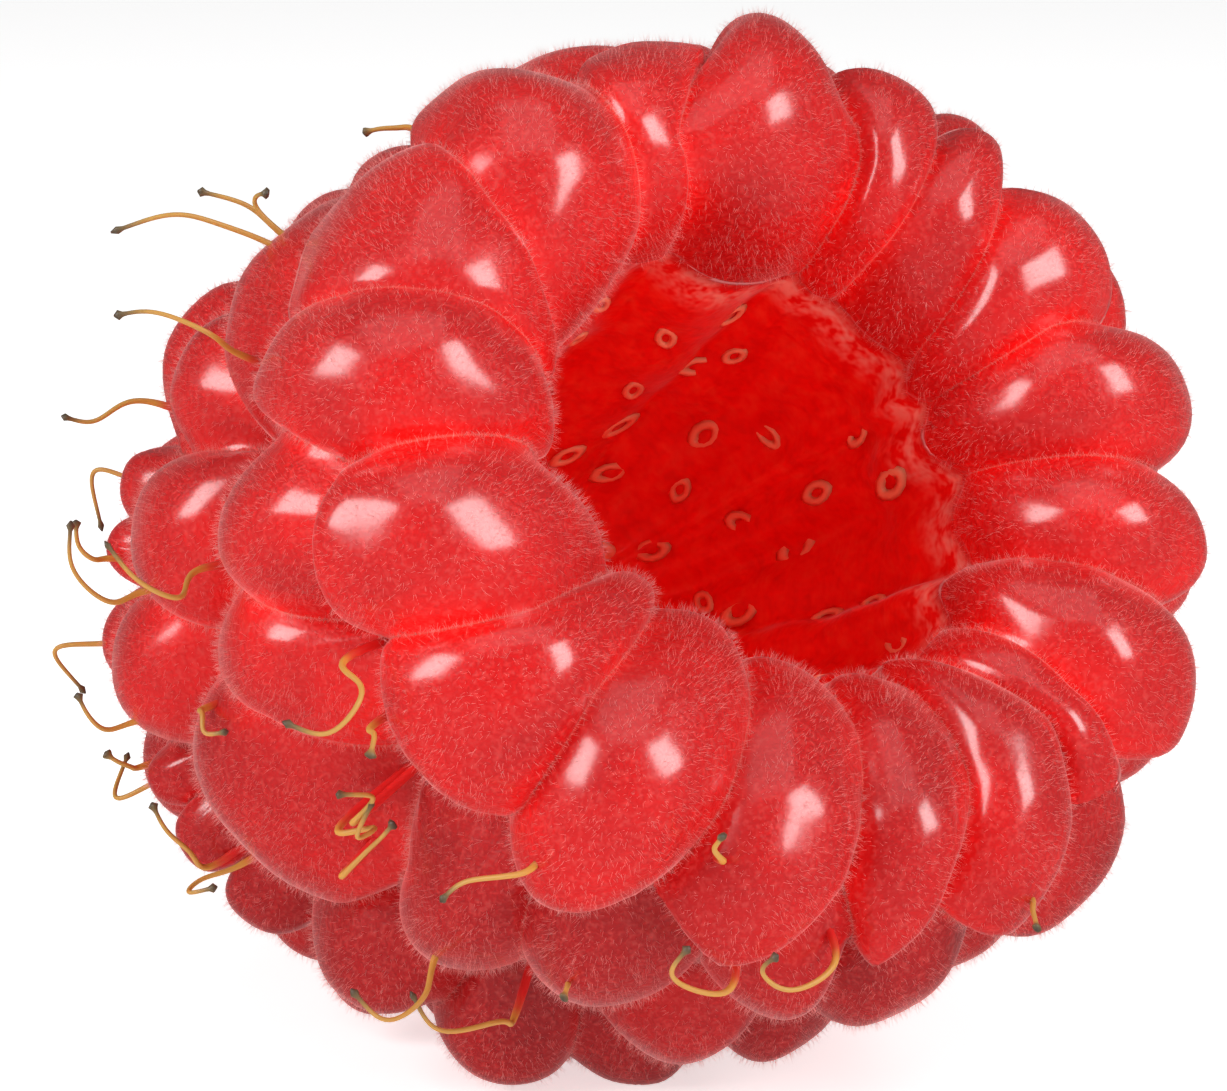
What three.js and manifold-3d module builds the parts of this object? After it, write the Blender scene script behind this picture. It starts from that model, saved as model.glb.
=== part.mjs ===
// A picked raspberry: one thimble of about a hundred drupelets grown together round the empty
// hollow that its core left, lying on its side with the mouth raised.
//
// Millimetres, +Z up, Z = 0 on the surface it lies on. The fruit's axis runs from the tip to the
// mouth. A place on the fruit is an azimuth about that axis, in degrees, and a length along the
// outline from the tip, over the shoulder and the crest, down to the lip of the hollow.
import * as THREE from "three";
import Module from "manifold-3d";

// The outline over the drupelets.
const SHOULDER_RADIUS = 11.05;
const SHOULDER_DROP = 3.2; // of the widest place below the crest plane
const LENGTH = 22.3; // from the crest plane to the tip
const CREST_RADIUS = 8.0;
const LIP_RADIUS = 5.1;
const LIP_DROP = 3.5;
const CAVITY_DEPTH = 15.7; // from the crest plane to the bottom of the hollow
const RADIUS_POWER = 0.8; // how square the outline is below the shoulder
const HEIGHT_POWER = 0.625;
const CAVITY_POWER = 0.55; // how the hollow narrows downward ...
const CAVITY_ROUND = 1.5; // ... and how round its bottom is
const CREST_LENGTH = 30.3; // along the outline

// How the fruit departs from a turned shape.
const RIM_RAISE = 0.8; // of the crest on the side that lies in front
const RIM_RAISE_AZIMUTH = 225;
const RIM_RAISE_BLEND = [20, 30]; // lengths along the outline over which it comes in
const LIP_SWELL = 1.55; // how far the lip closes in there
const LIP_SWELL_AZIMUTH = 232;
const LIP_SWELL_WIDTH = 60;
const SWELLINGS = [
  [268, 45, 23.5, 6, 0.75],
  [112, 30, 25, 6, -0.45],
  [254, 26, 17.5, 3.2, 0.75],
]; // azimuth, width, length along the outline, reach and height of each
const WIDE = 1.02;
const HIGH = 0.975;

// The pose.
const AXIS_RISE = 25.6; // of the mouth end above level
const PRESSED = 0.55; // how far the lowest drupelets are pressed flat by the fruit's weight

// The drupelets.
const RIM_MIDDLE = 31.0; // length along the outline to the middle of the rim
const RIM_CREASES = [
  [150, 1, 3], [171.7, 0, 0], [201.4, -5, 1], [217, 4, 1], [243, -3.5, 5], [265.5, -4, 9],
  [285.5, -12, 8], [304.3, -8, -2], [312, -3, 8], [335, 0, 2], [356, -2, 3], [379.5, -4, -2],
  [396.7, 5, -9], [411.2, 0, -1], [422.3, 7, -2], [457, -12, -5], [466.3, 0, 2],
  [496, -8, 9], [510, 1, 3],
]; // azimuth of each crease between the rim's drupelets, its turns outward and inward of there
const RIM_LEAN_REACH = 4; // along the outline to where a turn is whole ...
const RIM_LEAN_MOST = 1.1; // ... and how much of it there is at most
const RIM_LEAN_FADE = [8, 22]; // lengths along the outline over which the outer turns come in
const RIM_MIDDLES = [
  28.2, 30.6, 30.2, 30.6, 30.8, 31, 30.6, 30.6, 31, 31, 31, 31, 31, 31, 30.5, 29.4, 28.0, 27.2,
]; // length along the outline to each rim drupelet's middle
const RIM_RIDGE_OUT = 2.7; // how far its ridge runs on outward of its middle ...
const RIM_RIDGE_END = 34.6; // ... and the length along the outline where it ends inward
const FRONT_DRUPELETS = [
  [140, 16, 2.2], [148, 18.3, 1.8], [155, 14, 1.6], [165, 17.7, 1.6], [180, 24.5, 2.4],
  [190, 22.4, 1.5], [207, 18.5, 2.3], [180, 13.9, 2.4], [231, 16.5, 2.8], [232, 21.7, 1.6],
  [246, 24, 2.1], [266, 22.1, 1.7], [285, 24.6, 2.3], [247, 16.4, 2.3], [236, 13, 1.8],
  [218, 12.1, 1.6], [160, 13, 1.6], [172, 11.2, 1.7], [199, 11.8, 1.6], [205, 11.9, 1.6],
]; // azimuth, length along the outline and half width of those below the rim in front
const FRONT_SECTOR = [126, 268]; // azimuths between which no row puts a drupelet ...
const FRONT_END = 12.2; // ... beyond this length along the outline
const FIRST_ROW = 24.0; // length along the outline to the first row below the rim
const ROW_STEP = 3.55;
const SPACING = 4.1; // between the drupelets of a row
const WANDER_ROUND = 0.25; // the share of it over which they are out of line ...
const WANDER_ALONG = 0.5; // ... and how far along the outline
const ROWS_END = 26; // the greatest length along the outline
const CROWDING = 1.04; // how much room a drupelet takes over its own width
const SETTLING_PACE = 0.3;
const SETTLING_ROUNDS = 80;
const NEIGHBOURS = 1.2; // radians on the map within which drupelets can touch
const HALF_WIDTH = 2.0; // of a mean drupelet
const HALF_WIDTH_SPREAD = 0.16; // the share of it over which drupelets differ
const DOME_DROP = 0.66; // of a drupelet's skin at its half width, over that half width
const DOME_POWER = 2.3; // how flat its top is
const DOME_END = 1.4; // half widths from its middle, beyond which its skin sinks no further
const CREASE_BLEND = 0.009; // of the way in, over which the domes that meet at a corner blend
const MEETING_POWER = 7; // how near its creases a dome bends to meet them
const SUNK = 0.3; // how much lower a drupelet sits for each millimetre it is narrower
const HEIGHT_SPREAD = 0.24; // over which the drupelets' tops differ
const LIP_FADE = 0.6; // the share of the creases' depth that is left at the lip ...
const LIP_FADE_START = 26; // ... and the length along the outline where it begins to go

// How the drupelets' centres stand on the round map that their cells are drawn on: an angle from
// the mouth's middle, even over the rim and true to shape below it.
const LIP_ANGLE = 50;
const RIM_ANGLE_RATE = 2.0; // degrees for each millimetre along the outline over the rim
const RIM_BLEND = [25.0, 28.5]; // lengths along the outline between which one passes to the other

// The faceting.
const OUTLINE_STEPS = 1500;
const NORMAL_REACH = 12; // steps before and after a place from which its normal is taken
const CREASE_STEP = 1.35; // length of a facet along a crease
const DRUPELET_RINGS = 4;
const STEEPEST = 64; // degrees of slope of a drupelet beside a crease
const CAVITY_RINGS = 9;

// The dried styles, the brown threads that still stand on some drupelets.
const STYLE_WIDTH = 0.24;
const STYLE_STEPS = 8;
const STYLE_FOOT = 0.15; // how far under the outline a style's foot is ...
const STYLE_ROOT = 2.8; // ... and how much deeper its root is sunk in the flesh
const STYLE_CLEARANCE = 0.5; // above the surface that the fruit lies on
// In front: the foot's azimuth and length along the outline, and the places from it along X, Y
// and Z that the thread runs through to its end.
const FRONT_STYLES = [
  [143, 22.8, [-1.1, 0.4, 0.5], [-2.1, 0.6, 0.8], [-3.3, 1.2, 0.4]],
  [141, 22.2, [-0.6, 0.2, 0.6], [-1, 0.3, 0.8], [-1.7, 0.6, 1]],
  [142, 22.8, [-0.6, 0.3, 0.7], [-0.6, 0.2, 0.9], [-0.5, -0.2, 1]],
  [154, 23.2, [-0.7, -0.5, 0.5], [-1.8, 0.1, 1], [-2.5, 0.4, 0.9]],
  [148, 16.2, [-0.6, 0.1, 0], [-1.3, 0.2, -0.4], [-2, 0.3, -0.2]],
  [179, 21.4, [-0.6, -0.8, -0.4], [-1.4, -0.4, 0], [-1.9, 0.1, 0.8]],
  [176, 18, [-0.7, -0.1, -0.2], [-1.5, 0.2, 0.6], [-1.4, 0.4, 1.6]],
  [164, 13.4, [-0.3, -0.1, 0], [-0.6, 0.1, 0.3], [-0.6, 0.2, 0.9]],
  [189, 14.4, [-0.6, 0, -0.1], [-1, 0, 0.3], [-1.2, 0.1, 0.8]],
  [193, 12, [-0.2, -0.2, 0.1], [-0.6, -0.2, 0.3], [-0.8, -0.1, 0.5]],
  [209, 13.8, [-0.4, -0.2, 0.5], [-0.9, 0, 1], [-1.1, 0.3, 1.6]],
  [210, 17, [-0.9, 0.1, -0.2], [-1.3, -0.1, -0.4], [-0.8, -0.6, -0.2]],
  [196, 19.8, [-0.2, -0.6, 0.1], [-0.3, -0.8, -0.3], [0.1, -1.2, -0.2]],
  [201, 26.2, [0.1, -1, -0.3], [-0.8, -1.2, -1.1], [-1.6, -0.8, -0.8]],
  [206, 26, [0, -0.3, 0], [-0.2, -0.6, -0.2], [-0.3, -0.7, -0.4]],
  [211, 23.2, [0.3, -0.6, 0.7], [-0.2, -0.6, 0.8], [-0.5, -0.4, 0.8]],
  [211, 22.4, [0.6, -0.9, 0.3], [0, -1, 0.1], [0.3, -1.3, 1]],
  [214, 21.2, [0.5, -0.6, 0.8], [0.6, -0.8, 1], [0.7, -1.2, 1.4]],
  [224, 26.8, [-0.8, -0.2, 0], [-1.7, -0.2, 0], [-2.2, -0.3, -0.3]],
  [245, 20.6, [-0.4, -0.5, 0.3], [-1.9, -0.3, 0.2], [-2.4, -0.1, 1.1]],
  [229, 21.4, [-0.5, -0.6, -0.6], [-1.4, -0.6, -1], [-2, -0.2, -0.3]],
  [256, 26.2, [-1, -0.1, 0.2], [-1.5, -0.1, 0.6], [-1.2, -0.4, 1.2]],
  [265, 27.4, [-1.2, -0.1, -0.4], [-1.8, 0, 0.1], [-1.6, -0.4, 0.5]],
  [245, 29, [-0.3, -0.1, 0.3], [-0.3, -0.3, 0.5], [-0.3, -0.5, 0.7]],
  [243, 24, [-0.2, -0.3, 0], [-0.3, -0.4, -0.1], [-0.4, -0.5, -0.2]],
  [119, 22.8, [-0.3, 0.1, 0], [-0.7, 0.2, 0], [-1, 0.4, -0.1]],
  [295, 27.8, [-0.2, -0.3, -0.1], [-0.3, -0.6, -0.3], [-0.4, -0.8, -0.4]],
];
// Toward the tip: the share of the drupelets that keep theirs, and how far it reaches out of
// the flesh and bends to the tip.
const TIP_STYLE_SHARE = 0.45;
const TIP_STYLE_END = 11.0; // length along the outline beyond which there are none
const TIP_STYLE_OUT = 1.3;
const TIP_STYLE_BEND = 1.5;
const TIP_STYLE_LOWEST = 3; // above the surface

const radians = THREE.MathUtils.degToRad;

// The same number between 0 and 1 for the same pair of counts.
function chance(index, use) {
  const wave = Math.sin(index * 12.9898 + use * 78.233 + 1.7) * 43758.5453;
  return wave - Math.floor(wave);
}

function blend(from, to, x) {
  const t = THREE.MathUtils.clamp((x - from) / (to - from), 0, 1);
  return t * t * (3 - 2 * t);
}

// Linear reading of a table whose keys rise.
function read(keys, values, key) {
  let low = 0;
  let high = keys.length - 1;
  if (key <= keys[low]) return values[low];
  if (key >= keys[high]) return values[high];
  while (high - low > 1) {
    const middle = (low + high) >> 1;
    if (keys[middle] <= key) low = middle;
    else high = middle;
  }
  const part = (key - keys[low]) / (keys[high] - keys[low]);
  return values[low] + part * (values[high] - values[low]);
}

// The outline as radius and height over its length, with its outward normal. The height is 0 in
// the crest plane. A squarish oval makes the body, a quarter oval the outside of the rim, and
// another its inside.
function makeOutline() {
  const points = [];
  const body = 700;
  const roll = 200;
  for (let i = 0; i <= body; i++) {
    const k = (1 - i / body) * (Math.PI / 2);
    const drop = SHOULDER_DROP + (LENGTH - SHOULDER_DROP) * Math.sin(k) ** HEIGHT_POWER;
    points.push([i ? SHOULDER_RADIUS * Math.cos(k) ** RADIUS_POWER : 0, -drop]);
  }
  for (let i = 1; i <= roll; i++) {
    const k = (i / roll) * (Math.PI / 2);
    const radius = CREST_RADIUS + (SHOULDER_RADIUS - CREST_RADIUS) * Math.cos(k);
    points.push([radius, SHOULDER_DROP * (Math.sin(k) - 1)]);
  }
  for (let i = 1; i <= roll; i++) {
    const k = (i / roll) * (Math.PI / 2);
    const radius = CREST_RADIUS - (CREST_RADIUS - LIP_RADIUS) * Math.sin(k);
    points.push([radius, LIP_DROP * (Math.cos(k) - 1)]);
  }
  const along = [0];
  for (let i = 1; i < points.length; i++) {
    const step = Math.hypot(points[i][0] - points[i - 1][0], points[i][1] - points[i - 1][1]);
    along.push(along[i - 1] + step);
  }
  const total = along[along.length - 1];
  const radii = points.map((p) => p[0]);
  const heights = points.map((p) => p[1]);
  const length = [];
  const radius = [];
  const height = [];
  for (let i = 0; i < OUTLINE_STEPS; i++) {
    length.push((total * i) / (OUTLINE_STEPS - 1));
    radius.push(read(along, radii, length[i]));
    height.push(read(along, heights, length[i]));
  }
  return { length, radius, height };
}

// The outward normal along the outline, evened out where the three ovals meet.
function makeNormals({ length, radius, height }) {
  const last = length.length - 1;
  const out = [];
  const up = [];
  for (let i = 0; i <= last; i++) {
    const a = Math.max(i - NORMAL_REACH, 0);
    const b = Math.min(i + NORMAL_REACH, last);
    const run = Math.hypot(radius[b] - radius[a], height[b] - height[a]);
    out.push((height[b] - height[a]) / run);
    up.push((radius[a] - radius[b]) / run);
  }
  return { out, up };
}

// The angle from the mouth's middle on the round map, over the length along the outline. Below
// the rim the map keeps shapes, so that its circles are circles on the fruit.
function makeAngles({ length, radius }) {
  const last = length.length - 1;
  const angle = new Array(last + 1).fill(0);
  angle[last] = radians(LIP_ANGLE);
  for (let i = last - 1; i >= 0; i--) {
    const rim = blend(RIM_BLEND[0], RIM_BLEND[1], length[i + 1]);
    const even = Math.sin(angle[i + 1]) / Math.max(radius[i + 1], 1e-3);
    const rate = (1 - rim) * even + rim * radians(RIM_ANGLE_RATE);
    angle[i] = angle[i + 1] + rate * (length[i + 1] - length[i]);
  }
  angle[0] = Math.PI;
  return angle;
}

const outline = makeOutline();
const normals = makeNormals(outline);
const angles = makeAngles(outline);
const risingAngles = [...angles].reverse();
const lengthsByAngle = [...outline.length].reverse();

const lipLength = outline.length[OUTLINE_STEPS - 1];

function angleAt(length) {
  return read(outline.length, angles, length);
}

function lengthAt(angle) {
  return read(risingAngles, lengthsByAngle, angle);
}

// Millimetres round the fruit for each radian on the map.
function scaleAt(angle) {
  return read(outline.length, outline.radius, lengthAt(angle)) / Math.max(Math.sin(angle), 1e-6);
}

function mapPoint(azimuth, angle) {
  const out = Math.sin(angle);
  return new THREE.Vector3(out * Math.cos(azimuth), out * Math.sin(azimuth), Math.cos(angle));
}

function angleOf(point) {
  return Math.acos(THREE.MathUtils.clamp(point.z, -1, 1));
}

// The difference of two azimuths, between -180 and 180 degrees, in radians.
function turnFrom(azimuth, degrees) {
  const turn = azimuth - radians(degrees);
  return Math.atan2(Math.sin(turn), Math.cos(turn));
}

// The azimuth on the fruit of an azimuth on the map: turned outward and inward of the rim's
// middle so that the creases there lean as grown.
function lean(azimuth, length) {
  const start = RIM_CREASES[0][0];
  const place = start + THREE.MathUtils.euclideanModulo(azimuth / radians(1) - start, 360);
  const keys = RIM_CREASES.map((crease) => crease[0]);
  const outer = read(keys, RIM_CREASES.map((crease) => crease[1]), place);
  const inner = read(keys, RIM_CREASES.map((crease) => crease[2]), place);
  const from = (length - RIM_MIDDLE) / RIM_LEAN_REACH;
  const out = THREE.MathUtils.clamp(-from, 0, 1) * blend(...RIM_LEAN_FADE, length);
  return azimuth + radians(outer * out + inner * THREE.MathUtils.clamp(from, 0, RIM_LEAN_MOST));
}

// The point of the fruit at a depth under the outline, in the fruit's frame: X level, Y up from
// the axis, Z along the axis to the mouth.
function fruitPoint(mapped, depth) {
  const length = lengthAt(angleOf(mapped));
  const azimuth = lean(Math.atan2(mapped.y, mapped.x), length);
  const out = read(outline.length, normals.out, length);
  const up = read(outline.length, normals.up, length);
  let radius = read(outline.length, outline.radius, length) - out * depth;
  let height = read(outline.length, outline.height, length) - up * depth;
  const raised = RIM_RAISE * Math.cos(azimuth - radians(RIM_RAISE_AZIMUTH));
  height += raised * blend(...RIM_RAISE_BLEND, length);
  const swell = turnFrom(azimuth, LIP_SWELL_AZIMUTH) / radians(LIP_SWELL_WIDTH);
  radius -= LIP_SWELL * Math.exp(-(swell ** 2)) * blend(CREST_LENGTH, lipLength, length);
  for (const [at, width, middle, reach, swelling] of SWELLINGS) {
    const round = turnFrom(azimuth, at) / radians(width);
    radius += swelling * Math.exp(-(round ** 2) - ((length - middle) / reach) ** 2);
  }
  return new THREE.Vector3(
    WIDE * radius * Math.cos(azimuth),
    HIGH * radius * Math.sin(azimuth),
    height,
  );
}

// A drupelet's middle and half width on the map, and how broad half of it is on the fruit.
function makeDrupelet(azimuth, angle, halfWidth, breadth) {
  return { at: mapPoint(azimuth, angle), halfWidth, breadth, ridge: [0, 0] };
}

// A round drupelet of a half width in millimetres.
function makeRound(azimuth, length, width) {
  const angle = angleAt(length);
  return makeDrupelet(azimuth, angle, width / scaleAt(angle), width);
}

// The long drupelets of the rim, each between two creases.
function rimDrupelets() {
  const radius = read(outline.length, outline.radius, RIM_MIDDLE);
  return RIM_MIDDLES.map((length, i) => {
    const [from, to] = [radians(RIM_CREASES[i][0]), radians(RIM_CREASES[i + 1][0])];
    const middle = (from + to) / 2;
    const angle = angleAt(length);
    const half = mapPoint(middle, angle).angleTo(mapPoint(to, angleAt(RIM_MIDDLE)));
    const drupelet = makeDrupelet(middle, angle, half, ((to - from) / 2) * radius);
    drupelet.ridge = [length - RIM_RIDGE_OUT, RIM_RIDGE_END].map((end) => angle - angleAt(end));
    return drupelet;
  });
}

function frontDrupelets() {
  return FRONT_DRUPELETS.map(([azimuth, length, width]) =>
    makeRound(radians(azimuth), length, width),
  );
}

// Staggered rows down to the tip, each a little out of line, with none in the front sector.
function rowDrupelets() {
  const drupelets = [];
  let count = 0;
  let row = 0;
  for (let middle = FIRST_ROW; middle > 0.5; middle -= ROW_STEP) {
    const radius = read(outline.length, outline.radius, middle);
    const places = Math.max(1, Math.round((2 * Math.PI * radius) / SPACING));
    for (let i = 0; i < places; i++) {
      count += 1;
      const step = i + 0.5 * (row % 2) + WANDER_ROUND * (chance(count, 1) - 0.5);
      const azimuth = (2 * Math.PI * step) / places;
      const wander = WANDER_ALONG * (chance(count, 2) - 0.5);
      const length = THREE.MathUtils.clamp(middle + wander, 0, ROWS_END);
      const degrees = THREE.MathUtils.radToDeg(azimuth);
      const front = degrees > FRONT_SECTOR[0] && degrees < FRONT_SECTOR[1];
      if (front && length > FRONT_END) continue;
      const width = HALF_WIDTH * (1 + HALF_WIDTH_SPREAD * (chance(count, 3) - 0.5));
      const drupelet = makeRound(azimuth, length, width);
      drupelet.free = true;
      drupelets.push(drupelet);
    }
    row += 1;
  }
  return drupelets;
}

// Crowded drupelets of the rows push each other, and are pushed by the others, until they fit.
function settle(drupelets) {
  for (let round = 0; round < SETTLING_ROUNDS; round++) {
    const pushes = drupelets.map((one) => {
      const push = new THREE.Vector3();
      if (!one.free) return push;
      for (const other of drupelets) {
        if (other === one) continue;
        const over = (one.halfWidth + other.halfWidth) * CROWDING - one.at.angleTo(other.at);
        if (over <= 0) continue;
        const away = one.at.clone().sub(other.at);
        away.addScaledVector(one.at, -away.dot(one.at)).normalize();
        push.addScaledVector(away, over * SETTLING_PACE);
      }
      return push;
    });
    drupelets.forEach((one, i) => {
      if (!one.free) return;
      one.at.add(pushes[i]).normalize();
      one.halfWidth = one.breadth / scaleAt(angleOf(one.at));
    });
  }
}

// A drupelet's own directions on the map.
function turnToTip(drupelet) {
  drupelet.east = new THREE.Vector3(0, 0, 1).cross(drupelet.at).normalize();
  drupelet.north = drupelet.at.clone().cross(drupelet.east);
}

// The place that decides how far a cell reaches: it is raised above the map by its circle.
function raise(site) {
  site.raised = site.at.clone().divideScalar(Math.cos(site.halfWidth));
}

// The drupelets' cells on the map: where the planes through their circles meet. The mouth is the
// last cell. Each corner is where three cells meet.
function findCorners(sites) {
  const tops = sites.map((site) => site.raised);
  const corners = [];
  const ab = new THREE.Vector3();
  const ac = new THREE.Vector3();
  for (let a = 0; a < tops.length; a++) {
    for (let b = a + 1; b < tops.length; b++) {
      ab.copy(tops[b]).sub(tops[a]);
      if (b < tops.length - 1 && sites[a].at.angleTo(sites[b].at) > NEIGHBOURS) continue;
      for (let c = b + 1; c < tops.length; c++) {
        const normal = ab.clone().cross(ac.copy(tops[c]).sub(tops[a])).normalize();
        if (normal.dot(tops[a]) < 0) normal.negate();
        const reach = normal.dot(tops[a]) + 1e-9;
        if (tops.every((top) => normal.dot(top) <= reach)) {
          corners.push({ at: normal, cells: [a, b, c] });
        }
      }
    }
  }
  return corners;
}

// A cell's corners in order round it.
function cornersRound(corners, index, site) {
  const own = corners.filter((corner) => corner.cells.includes(index));
  const bearing = (corner) => Math.atan2(corner.at.dot(site.north), corner.at.dot(site.east));
  return own.sort((a, b) => bearing(a) - bearing(b));
}

// Moves a round drupelet's middle to that of its cell's outline, and makes its half width the
// mean way out to the outline, as the juice in a pressed ball evens out.
function evenOut(drupelet, index) {
  const round = cornersRound(corners, index, drupelet).map((corner) => corner.at);
  const sides = round.map((from, i) => {
    const to = round[(i + 1) % round.length];
    return { middle: from.clone().add(to).normalize(), length: from.distanceTo(to) };
  });
  const middle = new THREE.Vector3();
  for (const side of sides) middle.addScaledVector(side.middle, side.length);
  drupelet.at = middle.normalize();
  const total = sides.reduce((sum, side) => sum + side.length, 0);
  const away = sides.reduce((sum, side) => sum + side.length * side.middle.angleTo(drupelet.at), 0);
  drupelet.halfWidth = away / total;
  turnToTip(drupelet);
}

// The nearest point of a drupelet's ridge, which is its middle on all but the long rim ones.
function ridgePoint(drupelet, point) {
  const [low, high] = drupelet.ridge;
  const north = THREE.MathUtils.clamp(Math.asin(point.dot(drupelet.north)), low, high);
  const start = drupelet.at.clone().multiplyScalar(Math.cos(north));
  return start.addScaledVector(drupelet.north, Math.sin(north));
}

// How much of its depth a crease has left at a point of the map: it runs out toward the lip.
function fadeAt(point) {
  return 1 - (1 - LIP_FADE) * blend(LIP_FADE_START, lipLength, lengthAt(angleOf(point)));
}

const drupelets = [...rimDrupelets(), ...frontDrupelets(), ...rowDrupelets()];
settle(drupelets);
drupelets.forEach((one, i) => {
  one.sunk = SUNK * (HALF_WIDTH - one.breadth) + HEIGHT_SPREAD * (chance(i, 4) - 0.5);
  turnToTip(one);
});
const mouth = {
  at: new THREE.Vector3(0, 0, 1),
  halfWidth: radians(LIP_ANGLE),
  east: new THREE.Vector3(1, 0, 0),
  north: new THREE.Vector3(0, 1, 0),
};
const sites = [...drupelets, mouth];
sites.forEach(raise);
const corners = findCorners(sites);
drupelets.forEach((one, i) => {
  if (one.ridge[0] === 0) evenOut(one, i);
});

// A closed mesh of corner places and triangles, in the fruit's frame.
const places = [];
const triangles = [];
const creasePoints = new Map();

function addPlace(place) {
  places.push(place);
  return places.length - 1;
}

// How far a drupelet's skin has sunk at a point of its round dome.
function domeDepth(drupelet, point) {
  const away = Math.min(ridgePoint(drupelet, point).angleTo(point) / drupelet.halfWidth, DOME_END);
  return fadeAt(point) * (DOME_DROP * drupelet.breadth * away ** DOME_POWER + drupelet.sunk);
}

// A point on the creases, shared by the cells that meet there. It is as deep as the domes there,
// each weighed by how nearly the point lies in its cell.
function creasePoint(key, point) {
  if (!creasePoints.has(key)) {
    const inside = drupelets.map((drupelet) => point.dot(drupelet.raised));
    const most = Math.max(...inside);
    let depth = 0;
    let total = 0;
    drupelets.forEach((drupelet, i) => {
      const weight = Math.exp((inside[i] - most) / CREASE_BLEND);
      depth += weight * domeDepth(drupelet, point);
      total += weight;
    });
    depth /= total;
    creasePoints.set(key, { point, depth, index: addPlace(fruitPoint(point, depth)) });
  }
  return creasePoints.get(key);
}

// The length of a crease, in the larger of its two directions.
function creaseLength(from, to) {
  const along = Math.abs(lengthAt(angleOf(from)) - lengthAt(angleOf(to)));
  return Math.max(along, fruitPoint(from, 1).distanceTo(fruitPoint(to, 1)));
}

// The crease points round a cell, counter-clockwise seen from outside.
function creaseRound(cellIndex) {
  const round = cornersRound(corners, cellIndex, sites[cellIndex]);
  const loop = [];
  round.forEach((from, i) => {
    const to = round[(i + 1) % round.length];
    const [first, second] = [corners.indexOf(from), corners.indexOf(to)].sort((a, b) => a - b);
    const length = creaseLength(from.at, to.at);
    const steps = Math.max(1, Math.round(length / CREASE_STEP));
    loop.push(creasePoint(`${corners.indexOf(from)}`, from.at));
    for (let k = 1; k < steps; k++) {
      const point = from.at.clone().lerp(to.at, k / steps).normalize();
      const count = from === corners[first] ? k : steps - k;
      loop.push(creasePoint(`${first}-${second}-${count}`, point));
    }
  });
  return loop;
}

function joinRings(outer, inner) {
  outer.forEach((a, i) => {
    const next = (i + 1) % outer.length;
    triangles.push([a, outer[next], inner[next]], [a, inner[next], inner[i]]);
  });
}

// A drupelet is a dome that bends to meet its creases, drawn in rings that crowd toward them.
function buildDrupelet(drupelet, loop) {
  let ring = loop.map((crease) => crease.index);
  for (let k = DRUPELET_RINGS - 1; k > 0; k--) {
    const slope = (k / DRUPELET_RINGS) * radians(STEEPEST);
    const part = Math.sin(slope) / Math.sin(radians(STEEPEST));
    const inner = loop.map((crease) => {
      const point = ridgePoint(drupelet, crease.point).lerp(crease.point, part).normalize();
      const bend = crease.depth - domeDepth(drupelet, crease.point);
      return addPlace(fruitPoint(point, domeDepth(drupelet, point) + bend * part ** MEETING_POWER));
    });
    joinRings(ring, inner);
    ring = inner;
  }
  if (drupelet.ridge[0] < 0) closeRidge(ring, loop.map((crease) => crease.point.dot(drupelet.north)));
  else closeTop(ring, addPlace(fruitPoint(drupelet.at, drupelet.sunk)));
}

function closeTop(ring, top) {
  ring.forEach((a, i) => triangles.push([a, ring[(i + 1) % ring.length], top]));
}

// Closes a long ring from its southern end to its northern one, always on the side that is
// behind.
function closeRidge(ring, norths) {
  const count = ring.length;
  const start = norths.indexOf(Math.min(...norths));
  let east = start;
  let west = start;
  while ((east + 1) % count !== west) {
    const nextEast = (east + 1) % count;
    const nextWest = (west + count - 1) % count;
    const onEast = norths[nextEast] <= norths[nextWest];
    if (east !== west) {
      triangles.push([ring[east], ring[onEast ? nextEast : nextWest], ring[west]]);
    }
    if (onEast) east = nextEast;
    else west = nextWest;
  }
}

// The hollow narrows from the lip's scallops to a rounded bottom.
function buildCavity(loop) {
  let ring = loop.map((crease) => crease.index);
  const start = ring.map((index) => places[index].clone());
  for (let k = 1; k < CAVITY_RINGS; k++) {
    const part = k / CAVITY_RINGS;
    const narrowed = (1 - part ** CAVITY_ROUND) ** CAVITY_POWER;
    const inner = start.map((place) => {
      const height = THREE.MathUtils.lerp(place.z, -CAVITY_DEPTH, part);
      return addPlace(new THREE.Vector3(place.x * narrowed, place.y * narrowed, height));
    });
    joinRings(ring, inner);
    ring = inner;
  }
  const bottom = addPlace(new THREE.Vector3(0, 0, -CAVITY_DEPTH));
  ring.forEach((a, i) => triangles.push([a, ring[(i + 1) % ring.length], bottom]));
}

drupelets.forEach((drupelet, i) => buildDrupelet(drupelet, creaseRound(i)));
buildCavity(creaseRound(drupelets.length));

// From the fruit's frame to the surface it lies on.
function lay(place) {
  const rise = radians(AXIS_RISE);
  const up = place.y;
  const along = place.z;
  return new THREE.Vector3(
    place.x,
    up * Math.sin(rise) - along * Math.cos(rise),
    up * Math.cos(rise) + along * Math.sin(rise),
  );
}

// Moves the fruit over the origin and down to the surface, which presses its lowest drupelets
// flat.
const box = new THREE.Box3().setFromPoints(places.map(lay));
const middle = box.getCenter(new THREE.Vector3());
const shift = new THREE.Vector3(-middle.x, -middle.y, -box.min.z - PRESSED);

function settled(place) {
  const point = lay(place).add(shift);
  point.z = Math.max(point.z, 0);
  return point;
}

const wasm = await Module();
wasm.setup();

function makeSolid(points, faces) {
  const vertProperties = new Float32Array(points.flatMap((point) => point.toArray()));
  const triVerts = new Uint32Array(faces.flat());
  return new wasm.Manifold(new wasm.Mesh({ numProp: 3, vertProperties, triVerts }));
}

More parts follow.
